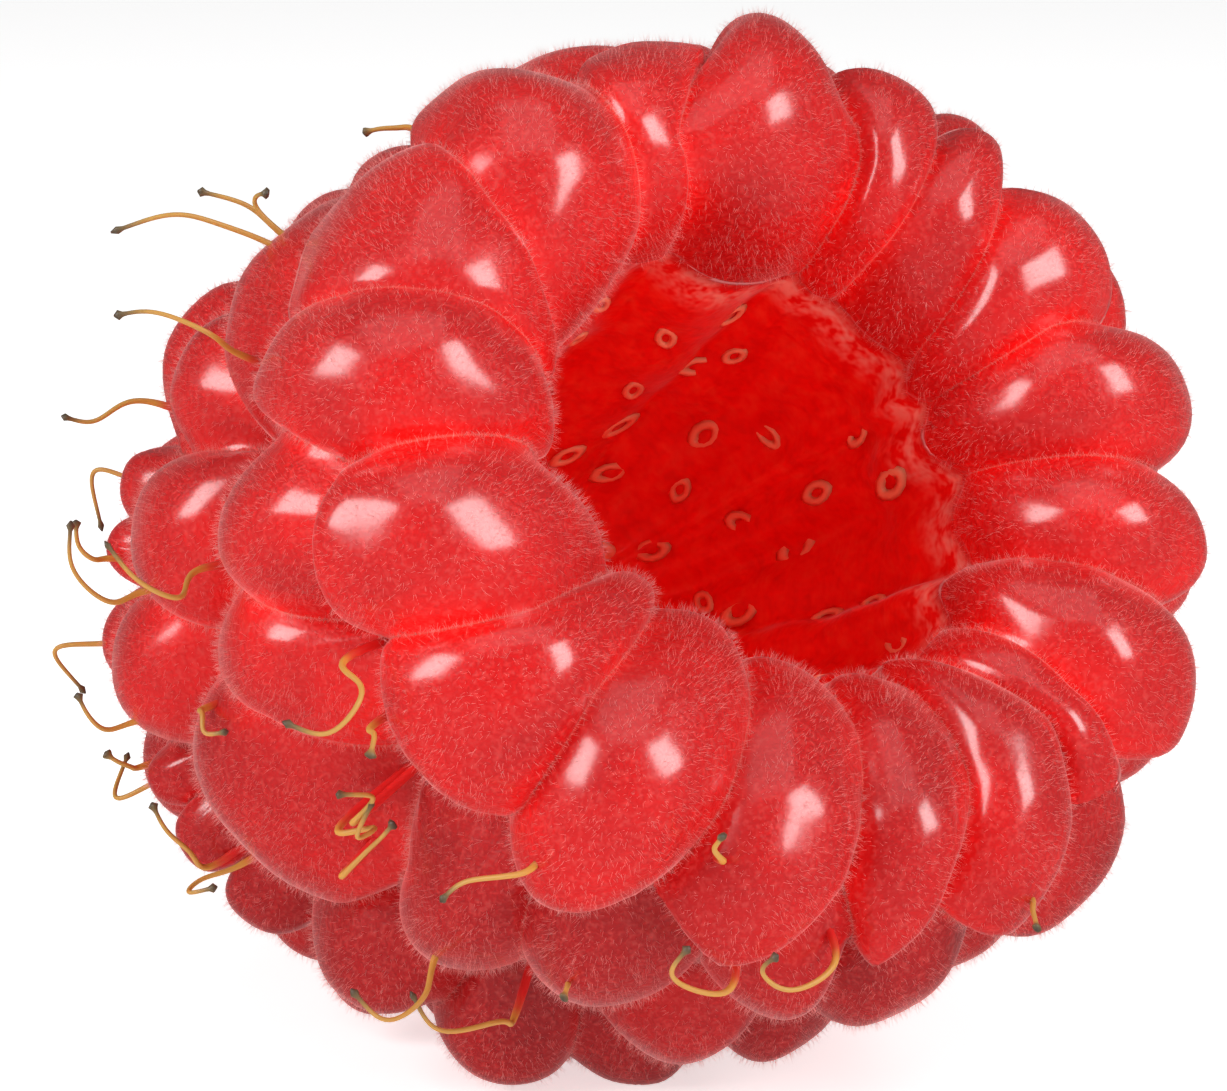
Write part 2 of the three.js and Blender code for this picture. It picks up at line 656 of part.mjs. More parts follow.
// A three-sided thread from inside the flesh out of its foot and through places from there.
function makeStyle(foot, inward, through) {
  const root = foot.clone().addScaledVector(inward, STYLE_ROOT);
  const curve = new THREE.CatmullRomCurve3([
    root,
    foot,
    ...through.map((place) => foot.clone().add(place)),
  ]);
  const frames = curve.computeFrenetFrames(STYLE_STEPS, false);
  const points = [];
  const faces = [[0, 2, 1]];
  for (let i = 0; i <= STYLE_STEPS; i++) {
    const middleOfRing = curve.getPointAt(i / STYLE_STEPS);
    for (let side = 0; side < 3; side++) {
      const turn = (2 * Math.PI * side) / 3;
      const point = middleOfRing.clone();
      point.addScaledVector(frames.normals[i], (Math.cos(turn) * STYLE_WIDTH) / 2);
      point.addScaledVector(frames.binormals[i], (Math.sin(turn) * STYLE_WIDTH) / 2);
      point.z = Math.max(point.z, STYLE_CLEARANCE + 0.1 * side);
      points.push(point);
    }
  }
  for (let i = 0; i < STYLE_STEPS; i++) {
    for (let side = 0; side < 3; side++) {
      const a = 3 * i + side;
      const b = 3 * i + ((side + 1) % 3);
      faces.push([a, b, b + 3], [a, b + 3, a + 3]);
    }
  }
  const last = 3 * STYLE_STEPS;
  faces.push([last, last + 1, last + 2]);
  return makeSolid(points, faces);
}

// The place of a style's foot on the fruit, and the way into the flesh there.
function footAt(mapped) {
  const foot = settled(fruitPoint(mapped, STYLE_FOOT));
  const inward = settled(fruitPoint(mapped, STYLE_FOOT + 1)).sub(foot).normalize();
  return { foot, inward };
}

function frontStyles() {
  return FRONT_STYLES.map(([azimuth, length, ...through]) => {
    const { foot, inward } = footAt(mapPoint(radians(azimuth), angleAt(length)));
    return makeStyle(foot, inward, through.map((place) => new THREE.Vector3(...place)));
  });
}

function tipStyles() {
  const styles = [];
  drupelets.forEach((drupelet, i) => {
    if (lengthAt(angleOf(drupelet.at)) > TIP_STYLE_END || chance(i, 5) > TIP_STYLE_SHARE) return;
    const { foot, inward } = footAt(drupelet.at);
    if (foot.z < TIP_STYLE_LOWEST) return;
    const south = drupelet.north.clone().negate();
    const toTip = lay(south.addScaledVector(drupelet.east, 2 * chance(i, 6) - 1)).normalize();
    const bend = inward.clone().multiplyScalar(-TIP_STYLE_OUT);
    const tip = bend.clone().addScaledVector(toTip, TIP_STYLE_BEND);
    styles.push(makeStyle(foot, inward, [bend, tip]));
  });
  return styles;
}

let fruit = makeSolid(places.map(settled), triangles);
for (const style of [...frontStyles(), ...tipStyles()]) fruit = fruit.add(style);

const mesh = fruit.getMesh();
const geometry = new THREE.BufferGeometry();
geometry.setAttribute("position", new THREE.BufferAttribute(mesh.vertProperties, 3));
geometry.setIndex(new THREE.BufferAttribute(mesh.triVerts, 1));
geometry.computeBoundingBox();
const centre = geometry.boundingBox.getCenter(new THREE.Vector3());
geometry.translate(-centre.x, -centre.y, 0);
geometry.computeVertexNormals();

const berry = new THREE.Mesh(
  geometry,
  new THREE.MeshStandardMaterial({ color: "#d8322c", roughness: 0.45, metalness: 0 }),
);
berry.name = "berry";

const raspberry = new THREE.Group();
raspberry.add(berry);
export default raspberry;
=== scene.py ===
from math import cos, pi, radians, sin

import bpy
import numpy as np
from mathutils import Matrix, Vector


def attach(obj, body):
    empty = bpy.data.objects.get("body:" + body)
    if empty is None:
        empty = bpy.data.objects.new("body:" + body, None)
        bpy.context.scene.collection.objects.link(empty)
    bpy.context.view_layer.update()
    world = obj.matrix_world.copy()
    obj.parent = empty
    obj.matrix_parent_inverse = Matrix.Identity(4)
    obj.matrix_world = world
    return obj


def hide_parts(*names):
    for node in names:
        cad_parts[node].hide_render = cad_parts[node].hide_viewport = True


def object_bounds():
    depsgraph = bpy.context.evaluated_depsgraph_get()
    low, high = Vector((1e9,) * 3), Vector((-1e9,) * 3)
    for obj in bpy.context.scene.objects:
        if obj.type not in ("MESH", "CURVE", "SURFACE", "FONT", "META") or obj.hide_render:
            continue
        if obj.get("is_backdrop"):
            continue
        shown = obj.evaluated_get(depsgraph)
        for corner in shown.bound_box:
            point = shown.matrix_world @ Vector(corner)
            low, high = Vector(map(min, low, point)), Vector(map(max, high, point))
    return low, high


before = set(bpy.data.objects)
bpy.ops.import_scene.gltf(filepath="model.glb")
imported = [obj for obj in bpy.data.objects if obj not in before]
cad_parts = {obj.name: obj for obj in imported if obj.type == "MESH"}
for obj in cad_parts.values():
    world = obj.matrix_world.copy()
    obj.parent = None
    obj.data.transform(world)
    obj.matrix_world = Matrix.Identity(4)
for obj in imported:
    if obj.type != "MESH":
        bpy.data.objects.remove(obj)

cad_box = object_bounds()

# ---- the fruit's form
# A raspberry is a turned thimble: drupelets on the outside, and a hollow where it came off its
# core. A place on it is an azimuth about its axis and a length in mm along its outline, from
# the tip over the shoulder and the crest down to the lip of the hollow.
SHOULDER_RADIUS = 11.05
SHOULDER_DROP = 3.2  # of the widest place below the plane of the crest
BERRY_LENGTH = 22.3  # from that plane to the tip
CREST_RADIUS = 8.0
LIP_RADIUS = 5.1
LIP_DROP = 3.5
RADIUS_POWER = 0.8  # how square the outline is below the shoulder
HEIGHT_POWER = 0.625
CREST_LENGTH = 30.3  # along the outline
BODY_STEPS = 700
CREST_STEPS = 200
OUTLINE_STEPS = 1500
NORMAL_REACH = 12  # of those steps, to each side

RIM_RAISE = 0.8  # of the crest on the side that lies in front
RIM_RAISE_AZIMUTH = 225
RIM_RAISE_BLEND = (20, 30)
LIP_SWELL = 1.55  # how far the lip closes in there
LIP_SWELL_AZIMUTH = 232
LIP_SWELL_WIDTH = 60
SWELLINGS = [
    (268, 45, 23.5, 6, 0.75), (112, 30, 25, 6, -0.45), (254, 26, 17.5, 3.2, 0.75),
]  # azimuth, width, length, reach and height of each
WIDE = 1.02  # over a turned fruit's width ...
HIGH = 0.975  # ... and height

AXIS_RISE = 25.6  # degrees, of the mouth end above level
MOUTH_AT = np.array([0.925, -8.813, 14.920])  # the middle of the plane of the crest
LYING_EDGE = 0.05  # mm over which the flesh turns to the flat that it lies on

RIM_MIDDLE = 31.0  # length at the middle of a rim drupelet
RIM_CREASES = np.array([
    (150, 1, 3), (171.7, 0, 0), (201.4, -5, 1), (217, 4, 1), (243, -3.5, 5), (265.5, -4, 9),
    (285.5, -12, 8), (304.3, -8, -2), (312, -3, 8), (335, 0, 2), (356, -2, 3), (379.5, -4, -2),
    (396.7, 5, -9), (411.2, 0, -1), (422.3, 7, -2), (457, -12, -5), (466.3, 0, 2), (496, -8, 9),
    (510, 1, 3),
])  # azimuth of each crease between the rim's drupelets, and its turns outward and inward of it
RIM_LEAN_REACH = 4  # mm from there to where a turn is whole ...
RIM_LEAN_MOST = 1.1  # ... and how much of it there is at most
RIM_LEAN_FADE = (8, 22)  # lengths over which the outer turns come in

LIP_ANGLE = 50  # degrees from the mouth's middle, on the round map of the drupelets
RIM_ANGLE_RATE = 2.0  # degrees for each mm of length over the rim
RIM_BLEND = (25.0, 28.5)  # lengths, from the true map to the even one


def blend(start, end, x):
    """An S-shaped step from 0 at start to 1 at end."""
    t = np.clip((x - start) / (end - start), 0, 1)
    return t * t * (3 - 2 * t)


def turned_outline():
    """Length, radius and height of the outline: a squarish oval to the shoulder, then a quarter
    oval over the rim's outside and another down its inside."""
    k = np.linspace(1, 0, BODY_STEPS + 1) * pi / 2
    body_radius = SHOULDER_RADIUS * np.cos(k) ** RADIUS_POWER
    body_radius[0] = 0
    body_drop = SHOULDER_DROP + (BERRY_LENGTH - SHOULDER_DROP) * np.sin(k) ** HEIGHT_POWER
    k = np.linspace(0, 1, CREST_STEPS + 1)[1:] * pi / 2
    radius = np.concatenate([
        body_radius,
        CREST_RADIUS + (SHOULDER_RADIUS - CREST_RADIUS) * np.cos(k),
        CREST_RADIUS - (CREST_RADIUS - LIP_RADIUS) * np.sin(k),
    ])
    height = np.concatenate([
        -body_drop, SHOULDER_DROP * (np.sin(k) - 1), LIP_DROP * (np.cos(k) - 1),
    ])
    along = np.append(0, np.cumsum(np.hypot(np.diff(radius), np.diff(height))))
    length = np.linspace(0, along[-1], OUTLINE_STEPS)
    return length, np.interp(length, along, radius), np.interp(length, along, height)


def outline_normals(radius, height):
    """The outward normal along the outline, from points a little before and after each."""
    steps = np.arange(len(radius))
    before = np.maximum(steps - NORMAL_REACH, 0)
    after = np.minimum(steps + NORMAL_REACH, len(radius) - 1)
    out = height[after] - height[before]
    up = radius[before] - radius[after]
    run = np.hypot(out, up)
    return out / run, up / run


def map_angles(length, radius):
    """The angle from the mouth's middle on the round map: its growth for each mm is the sine of
    the angle over the radius, which keeps circles round, and even over the rim."""
    angle = np.full(len(length), radians(LIP_ANGLE))
    even_rate = radians(RIM_ANGLE_RATE)
    rim = blend(*RIM_BLEND, length)
    step = length[1] - length[0]
    for i in range(len(length) - 2, -1, -1):
        round_rate = sin(angle[i + 1]) / max(radius[i + 1], 1e-3)
        rate = (1 - rim[i + 1]) * round_rate + rim[i + 1] * even_rate
        angle[i] = angle[i + 1] + rate * step
    angle[0] = pi
    return angle


outline_length, outline_radius, outline_height = turned_outline()
outline_out, outline_up = outline_normals(outline_radius, outline_height)
outline_angle = map_angles(outline_length, outline_radius)
lip_length = outline_length[-1]
crease_azimuth = np.radians(RIM_CREASES[:, 0])


def unit(vectors):
    """The vectors at length one."""
    return vectors / np.maximum(np.linalg.norm(vectors, axis=-1, keepdims=True), 1e-12)


def angle_at(length):
    """The map angle at a length along the outline."""
    return np.interp(length, outline_length, outline_angle)


def length_at(mapped):
    """The length along the outline at directions of the map."""
    angle = np.arccos(np.clip(mapped[..., 2], -1, 1))
    return np.interp(angle, outline_angle[::-1], outline_length[::-1])


def radius_at(length):
    """The outline's radius at a length along it."""
    return np.interp(length, outline_length, outline_radius)


def map_scale(mapped):
    """Millimetres round the fruit for each radian of the map."""
    return radius_at(length_at(mapped)) / np.maximum(np.hypot(mapped[..., 0], mapped[..., 1]), 1e-6)


def map_direction(azimuth, angle):
    """Directions of the map from azimuths and angles in radians."""
    azimuth, angle = np.broadcast_arrays(azimuth, angle)
    out = np.sin(angle)
    return np.stack([out * np.cos(azimuth), out * np.sin(azimuth), np.cos(angle)], -1)


def turn_from(azimuth, degrees):
    """How far azimuths lie from one given in degrees, between minus and plus half a turn."""
    turn = azimuth - radians(degrees)
    return np.arctan2(np.sin(turn), np.cos(turn))


def lay_down(places):
    """Turns places from the fruit's own frame, with its axis along Z, to how it lies: the mouth
    end raised and facing minus Y."""
    rise = radians(AXIS_RISE)
    x, up, along = np.moveaxis(places, -1, 0)
    back = up * sin(rise) - along * cos(rise)
    return np.stack([x, back, up * cos(rise) + along * sin(rise)], -1)


def settle_down(places):
    """Puts places in the fruit's frame where it lies, pressed level just above the surface."""
    points = lay_down(places) + MOUTH_AT
    z = points[..., 2]
    points[..., 2] = 0.5 * (z + np.sqrt(z * z + LYING_EDGE ** 2))
    return points


def lean(azimuth, length):
    """Turns azimuths so that the rim's creases lean as grown: by the outer turn toward the
    outside of the rim, fading out below it, and by the inner turn toward the lip."""
    place = np.degrees(azimuth - crease_azimuth[0]) % 360 + np.degrees(crease_azimuth[0])
    outer = np.interp(place, RIM_CREASES[:, 0], RIM_CREASES[:, 1])
    inner = np.interp(place, RIM_CREASES[:, 0], RIM_CREASES[:, 2])
    out = np.clip((RIM_MIDDLE - length) / RIM_LEAN_REACH, 0, 1) * blend(*RIM_LEAN_FADE, length)
    turn = outer * out + inner * np.clip((length - RIM_MIDDLE) / RIM_LEAN_REACH, 0, RIM_LEAN_MOST)
    return azimuth + np.radians(turn)


def fruit_places(mapped, depth):
    """Places at a depth under the outline in the fruit's frame: the outline turned about Z, then
    raised, closed in and filled out on the side that lies in front."""
    length = length_at(mapped)
    azimuth = lean(np.arctan2(mapped[..., 1], mapped[..., 0]), length)
    radius = radius_at(length)
    height = np.interp(length, outline_length, outline_height)
    radius = radius - depth * np.interp(length, outline_length, outline_out)
    height = height - depth * np.interp(length, outline_length, outline_up)
    raised = np.cos(azimuth - radians(RIM_RAISE_AZIMUTH))
    height = height + RIM_RAISE * raised * blend(*RIM_RAISE_BLEND, length)
    swell = turn_from(azimuth, LIP_SWELL_AZIMUTH) / radians(LIP_SWELL_WIDTH)
    radius = radius - LIP_SWELL * np.exp(-(swell ** 2)) * blend(CREST_LENGTH, lip_length, length)
    for middle, width, along, reach, swelling in SWELLINGS:
        turned = turn_from(azimuth, middle) / radians(width)
        radius = radius + swelling * np.exp(-(turned ** 2) - ((length - along) / reach) ** 2)
    return np.stack([WIDE * radius * np.cos(azimuth), HIGH * radius * np.sin(azimuth), height], -1)


# ---- the drupelets
# Each drupelet is a juicy ball pressed by its neighbours, so they meet in creases. A place's
# cell is that of the drupelet whose circle on the map it is furthest inside.
RIM_MIDDLES = np.array([
    28.2, 30.6, 30.2, 30.6, 30.8, 31, 30.6, 30.6, 31, 31, 31, 31, 31, 31, 30.5, 29.4, 28.0, 27.2,
])  # length at each rim drupelet's middle
RIM_RIDGE_OUT = 2.7  # mm by which its ridge runs on outward of its middle ...
RIM_RIDGE_END = 34.6  # ... and the length where it ends inward
FRONT_DRUPELETS = np.array([
    (140, 16, 2.2), (148, 18.3, 1.8), (155, 14, 1.6), (165, 17.7, 1.6), (180, 24.5, 2.4),
    (190, 22.4, 1.5), (207, 18.5, 2.3), (180, 13.9, 2.4), (231, 16.5, 2.8), (232, 21.7, 1.6),
    (246, 24, 2.1), (266, 22.1, 1.7), (285, 24.6, 2.3), (247, 16.4, 2.3), (236, 13, 1.8),
    (218, 12.1, 1.6), (160, 13, 1.6), (172, 11.2, 1.7), (199, 11.8, 1.6), (205, 11.9, 1.6),
])  # azimuth, length and half width of those below the rim in front
FRONT_SECTOR = (126, 268)  # azimuths between which no row puts a drupelet ...
FRONT_END = 12.2  # ... beyond this length
FIRST_ROW = 24.0
ROW_STEP = 3.55
SPACING = 4.1  # between the drupelets of a row
HALF_WIDTH = 2.0  # of a mean drupelet
HALF_WIDTH_SPREAD = 0.16
DOME_DROP = 0.66  # of its skin at its half width, over that half width
DOME_POWER = 2.3  # how flat its top is
DOME_END = 1.4  # half widths from its middle, where its skin stops sinking
CREASE_BLEND = 0.009  # of the way in, over which the domes at a corner blend
MEETING_POWER = 7  # how near its creases a dome bends to meet them
SUNK = 0.3  # how much lower a drupelet sits for each mm it is narrower
HEIGHT_SPREAD = 0.24
LIP_FADE = 0.6  # the share of the creases' depth that is left at the lip ...
LIP_FADE_START = 26  # ... and the length where it begins to go
WANDER_ROUND = 0.25  # of the spacing, how far the rows' are out of line ...
WANDER_ALONG = 0.5  # ... and mm of length
ROWS_END = 26
CROWDING = 1.04  # how much room a drupelet takes over its own width
PACE = 0.3  # of an overlap, how far a round moves a drupelet
SETTLING_ROUNDS = 80
CORNER_BATCHES = 12  # in which corners are looked for
CREASE_STEP = 0.25  # mm between points along a crease
DRUPELET_RINGS = 13
STEEPEST = radians(64)  # slope of a drupelet beside a crease
UNEVEN = 0.05  # mm, how far a drupelet's skin swells and sinks
UNEVEN_LENGTH = 2.3  # mm from one swelling to the next
RIPPLE_WAVES = 24
RIPPLE_SPREAD = (0.7, 1.4)  # of their lengths


def chance(index, use):
    """The same number between 0 and 1 for the same pair of counts: the far digits of a sine."""
    wave = np.sin(np.asarray(index) * 12.9898 + use * 78.233 + 1.7) * 43758.5453
    return wave - np.floor(wave)


def ripple(places, wavelength, seed):
    """Smooth unevenness of about minus to plus one: the sum of plane waves that run in random
    directions, each about as long as the wavelength."""
    draw = np.random.default_rng(seed)
    fronts = unit(draw.normal(size=(RIPPLE_WAVES, 3)))
    fronts *= 2 * pi / (wavelength * draw.uniform(*RIPPLE_SPREAD, (RIPPLE_WAVES, 1)))
    waves = np.sin(places @ fronts.T + draw.uniform(0, 2 * pi, RIPPLE_WAVES))
    return waves.sum(-1) / RIPPLE_WAVES ** 0.5


def rim_drupelets():
    """Middles on the map and half widths of the long drupelets round the mouth."""
    crease = crease_azimuth
    angle = angle_at(RIM_MIDDLES)
    at = map_direction((crease[1:] + crease[:-1]) / 2, angle)
    half = np.arccos((at * map_direction(crease[1:], angle_at(RIM_MIDDLE))).sum(1))
    ends = [angle_at(RIM_MIDDLES - RIM_RIDGE_OUT), np.full(len(at), angle_at(RIM_RIDGE_END))]
    breadth = np.diff(crease) / 2 * radius_at(RIM_MIDDLE)
    return at, half, angle[:, None] - np.stack(ends, 1), breadth


def row_drupelets():
    """Middles on the map and half widths in mm of the staggered rows down to the tip, each a
    little out of line."""
    at, widths = [], []
    count = 0
    for row, middle in enumerate(np.arange(FIRST_ROW, 0.5, -ROW_STEP)):
        around = 2 * pi * radius_at(middle)
        places = max(1, int(around / SPACING + 0.5))
        number = count + 1 + np.arange(places)
        count += places
        step = np.arange(places) + 0.5 * (row % 2) + WANDER_ROUND * (chance(number, 1) - 0.5)
        azimuth = 2 * pi * step / places
        length = np.clip(middle + WANDER_ALONG * (chance(number, 2) - 0.5), 0, ROWS_END)
        degrees = np.degrees(azimuth)
        front = (degrees > FRONT_SECTOR[0]) & (degrees < FRONT_SECTOR[1]) & (length > FRONT_END)
        width = HALF_WIDTH * (1 + HALF_WIDTH_SPREAD * (chance(number, 3) - 0.5))
        at.append(map_direction(azimuth, angle_at(length))[~front])
        widths.append(width[~front])
    return np.concatenate(at), np.concatenate(widths)


def crowd_together(at, half, free_width):
    """Lets the drupelets of the rows push each other, and be pushed by the rest, until they
    fit: each overlap moves the middle away along the map by a share of it."""
    free = free_width > 0
    for _ in range(SETTLING_ROUNDS):
        between = np.arccos(np.clip(at @ at.T, -1, 1))
        np.fill_diagonal(between, pi)
        over = np.maximum((half[:, None] + half) * CROWDING - between, 0)
        away = at[:, None] - at
        away -= (away * at[:, None]).sum(-1, keepdims=True) * at[:, None]
        push = (unit(away) * over[..., None]).sum(1) * PACE
        at[free] = unit(at + push)[free]
        half[free] = (free_width / map_scale(at))[free]
    return at, half


def cell_corners(at, half):
    """The directions where three cells meet, and the three: the planes through three raised
    middles that have all the others below them."""
    raised = at / np.cos(half)[:, None]
    threes = np.array(np.meshgrid(*[np.arange(len(at))] * 3, indexing="ij")).reshape(3, -1)
    threes = threes[:, (threes[0] < threes[1]) & (threes[1] < threes[2])]
    corners, cells = [], []
    for a, b, c in np.array_split(threes, CORNER_BATCHES, axis=1):
        normal = unit(np.cross(raised[b] - raised[a], raised[c] - raised[a]))
        reach = (normal * raised[a]).sum(1)
        normal *= np.sign(reach)[:, None]
        highest = (normal @ raised.T <= np.abs(reach)[:, None] + 1e-9).all(1)
        corners.append(normal[highest])
        cells.append(np.stack([a, b, c], 1)[highest])
    return np.concatenate(corners), np.concatenate(cells)


rim_at, rim_half, rim_ridge, rim_breadth = rim_drupelets()
front_angle = angle_at(FRONT_DRUPELETS[:, 1])
front_at = map_direction(np.radians(FRONT_DRUPELETS[:, 0]), front_angle)
row_at, row_width = row_drupelets()
drupelet_at = np.concatenate([rim_at, front_at, row_at])
drupelet_half = np.concatenate([
    rim_half, FRONT_DRUPELETS[:, 2] / map_scale(front_at), row_width / map_scale(row_at),
])
free_width = np.concatenate([np.zeros(len(rim_at) + len(front_at)), row_width])
drupelet_at, drupelet_half = crowd_together(drupelet_at, drupelet_half, free_width)
drupelet_count = len(drupelet_at)
corner_at, corner_cells = cell_corners(
    np.vstack([drupelet_at, [0, 0, 1]]), np.append(drupelet_half, radians(LIP_ANGLE)),
)


def round_cell(cell, east, north):
    """The numbers of a cell's corners, turning left seen from outside."""
    own = np.flatnonzero((corner_cells == cell).any(1))
    return own[np.argsort(np.arctan2(corner_at[own] @ north, corner_at[own] @ east))]


def even_out(at, half):
    """Moves the round drupelets' middles to those of their cells' outlines, and makes each half
    width the mean way out to the outline, as the juice in a pressed ball evens out."""
    for cell in range(len(rim_at), len(at)):
        east = unit(np.cross([0, 0, 1], at[cell]))
        own = corner_at[round_cell(cell, east, np.cross(at[cell], east))]
        side = np.roll(own, -1, 0) - own
        side_middle = unit(own + side / 2)
        side_length = np.linalg.norm(side, axis=1)
        at[cell] = unit(side_length @ side_middle)
        half[cell] = side_length @ np.arccos(side_middle @ at[cell]) / side_length.sum()
    return at, half


raised_at = drupelet_at / np.cos(drupelet_half)[:, None]
drupelet_at, drupelet_half = even_out(drupelet_at, drupelet_half)
drupelet_east = unit(np.cross([0.0, 0.0, 1.0], drupelet_at))
drupelet_north = np.cross(drupelet_at, drupelet_east)
drupelet_ridge = np.zeros((drupelet_count, 2))
drupelet_ridge[: len(rim_at)] = rim_ridge
drupelet_breadth = np.concatenate([rim_breadth, FRONT_DRUPELETS[:, 2], row_width])
drupelet_sunk = SUNK * (HALF_WIDTH - drupelet_breadth)
drupelet_sunk += HEIGHT_SPREAD * (chance(np.arange(drupelet_count), 4) - 0.5)


def ridge_point(mapped, cell):
    """The nearest point of a drupelet's ridge, which is its middle on all but the rim ones."""
    along = np.arcsin(np.clip(mapped @ drupelet_north[cell], -1, 1))
    nearest = np.clip(along, *drupelet_ridge[cell])[..., None]
    return drupelet_at[cell] * np.cos(nearest) + drupelet_north[cell] * np.sin(nearest)


def dome_depth(mapped, cell):
    """How far a drupelet's skin has sunk at a point of its round dome: with a power of the way
    from its middle or ridge in half widths, and less toward the lip."""
    away = np.arccos(np.clip((mapped * ridge_point(mapped, cell)).sum(-1), -1, 1))
    away = np.minimum(away / drupelet_half[cell], DOME_END)
    sunk = DOME_DROP * drupelet_breadth[cell] * away ** DOME_POWER + drupelet_sunk[cell]
    return sunk * (1 - (1 - LIP_FADE) * blend(LIP_FADE_START, lip_length, length_at(mapped)))


def crease_depth(mapped):
    """The depth of crease points: the domes' depths there, weighed by how nearly the point lies
    in each one's cell."""
    inside = mapped @ raised_at.T
    weight = np.exp((inside - inside.max(1, keepdims=True)) / CREASE_BLEND)
    domes = np.stack([dome_depth(mapped, cell) for cell in range(drupelet_count)], 1)
    return (weight * domes).sum(1) / weight.sum(1)


def crease_between(start, end):
    """The points of the crease between two corners, without the corners: an arc of the map."""
    ends = corner_at[[start, end]]
    apart = np.linalg.norm(np.diff(fruit_places(ends, np.ones(2)), axis=0))
    crease_length = max(abs(np.diff(length_at(ends))[0]), apart)
    steps = max(1, round(crease_length / CREASE_STEP))
    share = np.arange(1, steps)[:, None] / steps
    return unit(ends[0] * (1 - share) + ends[1] * share)


def crease_loops():
    """All crease points, and the loop of them round each cell, turning left seen from outside.
    The last cell is the mouth."""
    mapped = [corner_at]
    count = len(corner_at)
    creases = {}
    loops = []
    east = np.vstack([drupelet_east, [1, 0, 0]])
    north = np.vstack([drupelet_north, [0, 1, 0]])
    for cell in range(drupelet_count + 1):
        own = round_cell(cell, east[cell], north[cell])
        loop = []
        for start, end in zip(own, np.roll(own, -1)):
            low, high = min(start, end), max(start, end)
            if (low, high) not in creases:
                points = crease_between(low, high)
                creases[low, high] = np.arange(count, count + len(points))
                mapped.append(points)
                count += len(points)
            between = creases[low, high]
            loop += [[start], between if start == low else between[::-1]]
        loops.append(np.concatenate(loop))
    return np.concatenate(mapped), loops


crease_at, loops = crease_loops()
crease_depths = crease_depth(crease_at)


def ring_faces(rings):
    """Triangles between rings of point numbers, the outermost first."""
    a, b = rings[:-1], rings[1:]
    a_next, b_next = np.roll(a, -1, 1), np.roll(b, -1, 1)
    halves = [np.stack([a, a_next, b_next], -1), np.stack([a, b_next, b], -1)]
    return np.concatenate([half.reshape(-1, 3) for half in halves])


def fan_faces(ring, middle):
    """Triangles from a ring of point numbers to one point in its middle."""
    return np.stack([ring, np.roll(ring, -1), np.full(len(ring), middle)], 1)


def close_ridge(ring, along):
    """Triangles that close a long ring across its ridge: each edge of one side goes to the last
    point of the other side that is behind it."""
    start, end = np.argmin(along), np.argmax(along)
    count = len(ring)
    east = (start + np.arange((end - start) % count + 1)) % count
    west = (start - np.arange((start - end) % count + 1)) % count
    east_along = np.maximum.accumulate(along[east])
    west_along = np.maximum.accumulate(along[west])
    behind = np.searchsorted(west_along, east_along[1:], side="left") - 1
    facing = west[np.clip(behind, 0, len(west) - 1)]
    east_faces = np.stack([east[:-1], east[1:], facing], 1)
    behind = np.searchsorted(east_along, west_along[1:], side="right") - 1
    facing = east[np.clip(behind, 0, len(east) - 1)]
    west_faces = np.stack([facing, west[1:], west[:-1]], 1)
    a, b, c = np.concatenate([east_faces, west_faces]).T
    distinct = (a != b) & (b != c) & (a != c)
    return ring[np.stack([a, b, c], 1)[distinct]]


def grow_drupelets():
    """The fruit's outer skin: crease points first, then for each drupelet rings that narrow to
    its middle or its ridge. They lie on its dome, and bend to its creases with a power of the
    share of the way out. Gives places, shares, cells and faces."""
    parts = np.sin(np.arange(DRUPELET_RINGS - 1, 0, -1) / DRUPELET_RINGS * STEEPEST)
    parts = (parts / sin(STEEPEST))[:, None]
    mapped, depth, share = [crease_at], [crease_depths], [np.ones(len(crease_at))]
    owner, faces = [np.full(len(crease_at), -1)], []
    count = len(crease_at)
    for cell, loop in enumerate(loops[:-1]):
        edge = crease_at[loop]
        along = edge @ drupelet_north[cell]
        middle = ridge_point(edge, cell)
        inner = unit(middle + parts[..., None] * (edge - middle))
        bend = crease_depths[loop] - dome_depth(edge, cell)
        inner_depth = dome_depth(inner, cell) + bend * parts ** MEETING_POWER
        numbers = count + np.arange(inner.shape[0] * len(loop)).reshape(inner.shape[:2])
        faces.append(ring_faces(np.vstack([loop, numbers])))
        mapped.append(inner.reshape(-1, 3))
        depth.append(inner_depth.ravel())
        share.append(np.broadcast_to(parts, inner_depth.shape).ravel())
        count += numbers.size
        if cell < len(rim_at):
            faces.append(close_ridge(numbers[-1], along))
        else:
            faces.append(fan_faces(numbers[-1], count))
            mapped.append(drupelet_at[cell : cell + 1])
            depth.append(drupelet_sunk[cell : cell + 1])
            share.append([0.0])
            count += 1
        owner.append(np.full(count - sum(map(len, owner)), cell))
    mapped, depth = np.concatenate(mapped), np.concatenate(depth)
    depth = depth + UNEVEN * ripple(fruit_places(mapped, 0), UNEVEN_LENGTH, seed=3)
    places = fruit_places(mapped, depth)
    return places, np.concatenate(share), np.concatenate(owner), np.concatenate(faces)


skin_places, skin_share, skin_owner, skin_faces = grow_drupelets()

# ---- the hollow
# The empty place of the core: a soft wall of the drupelets' inner ends, which narrows from the
# lip's scallops to a rounded bottom.
HOLLOW_DEPTH = 15.7  # mm from the plane of the crest to the bottom
HOLLOW_POWER = 0.55  # how it narrows ...
HOLLOW_ROUND = 1.5  # ... and how round its bottom is
HOLLOW_RINGS = 64
WALL_UNEVEN = 0.13  # mm
WALL_UNEVEN_LENGTH = 2.4
WALL_UNEVEN_START = (0, 0.12)  # shares of the way down over which that comes in


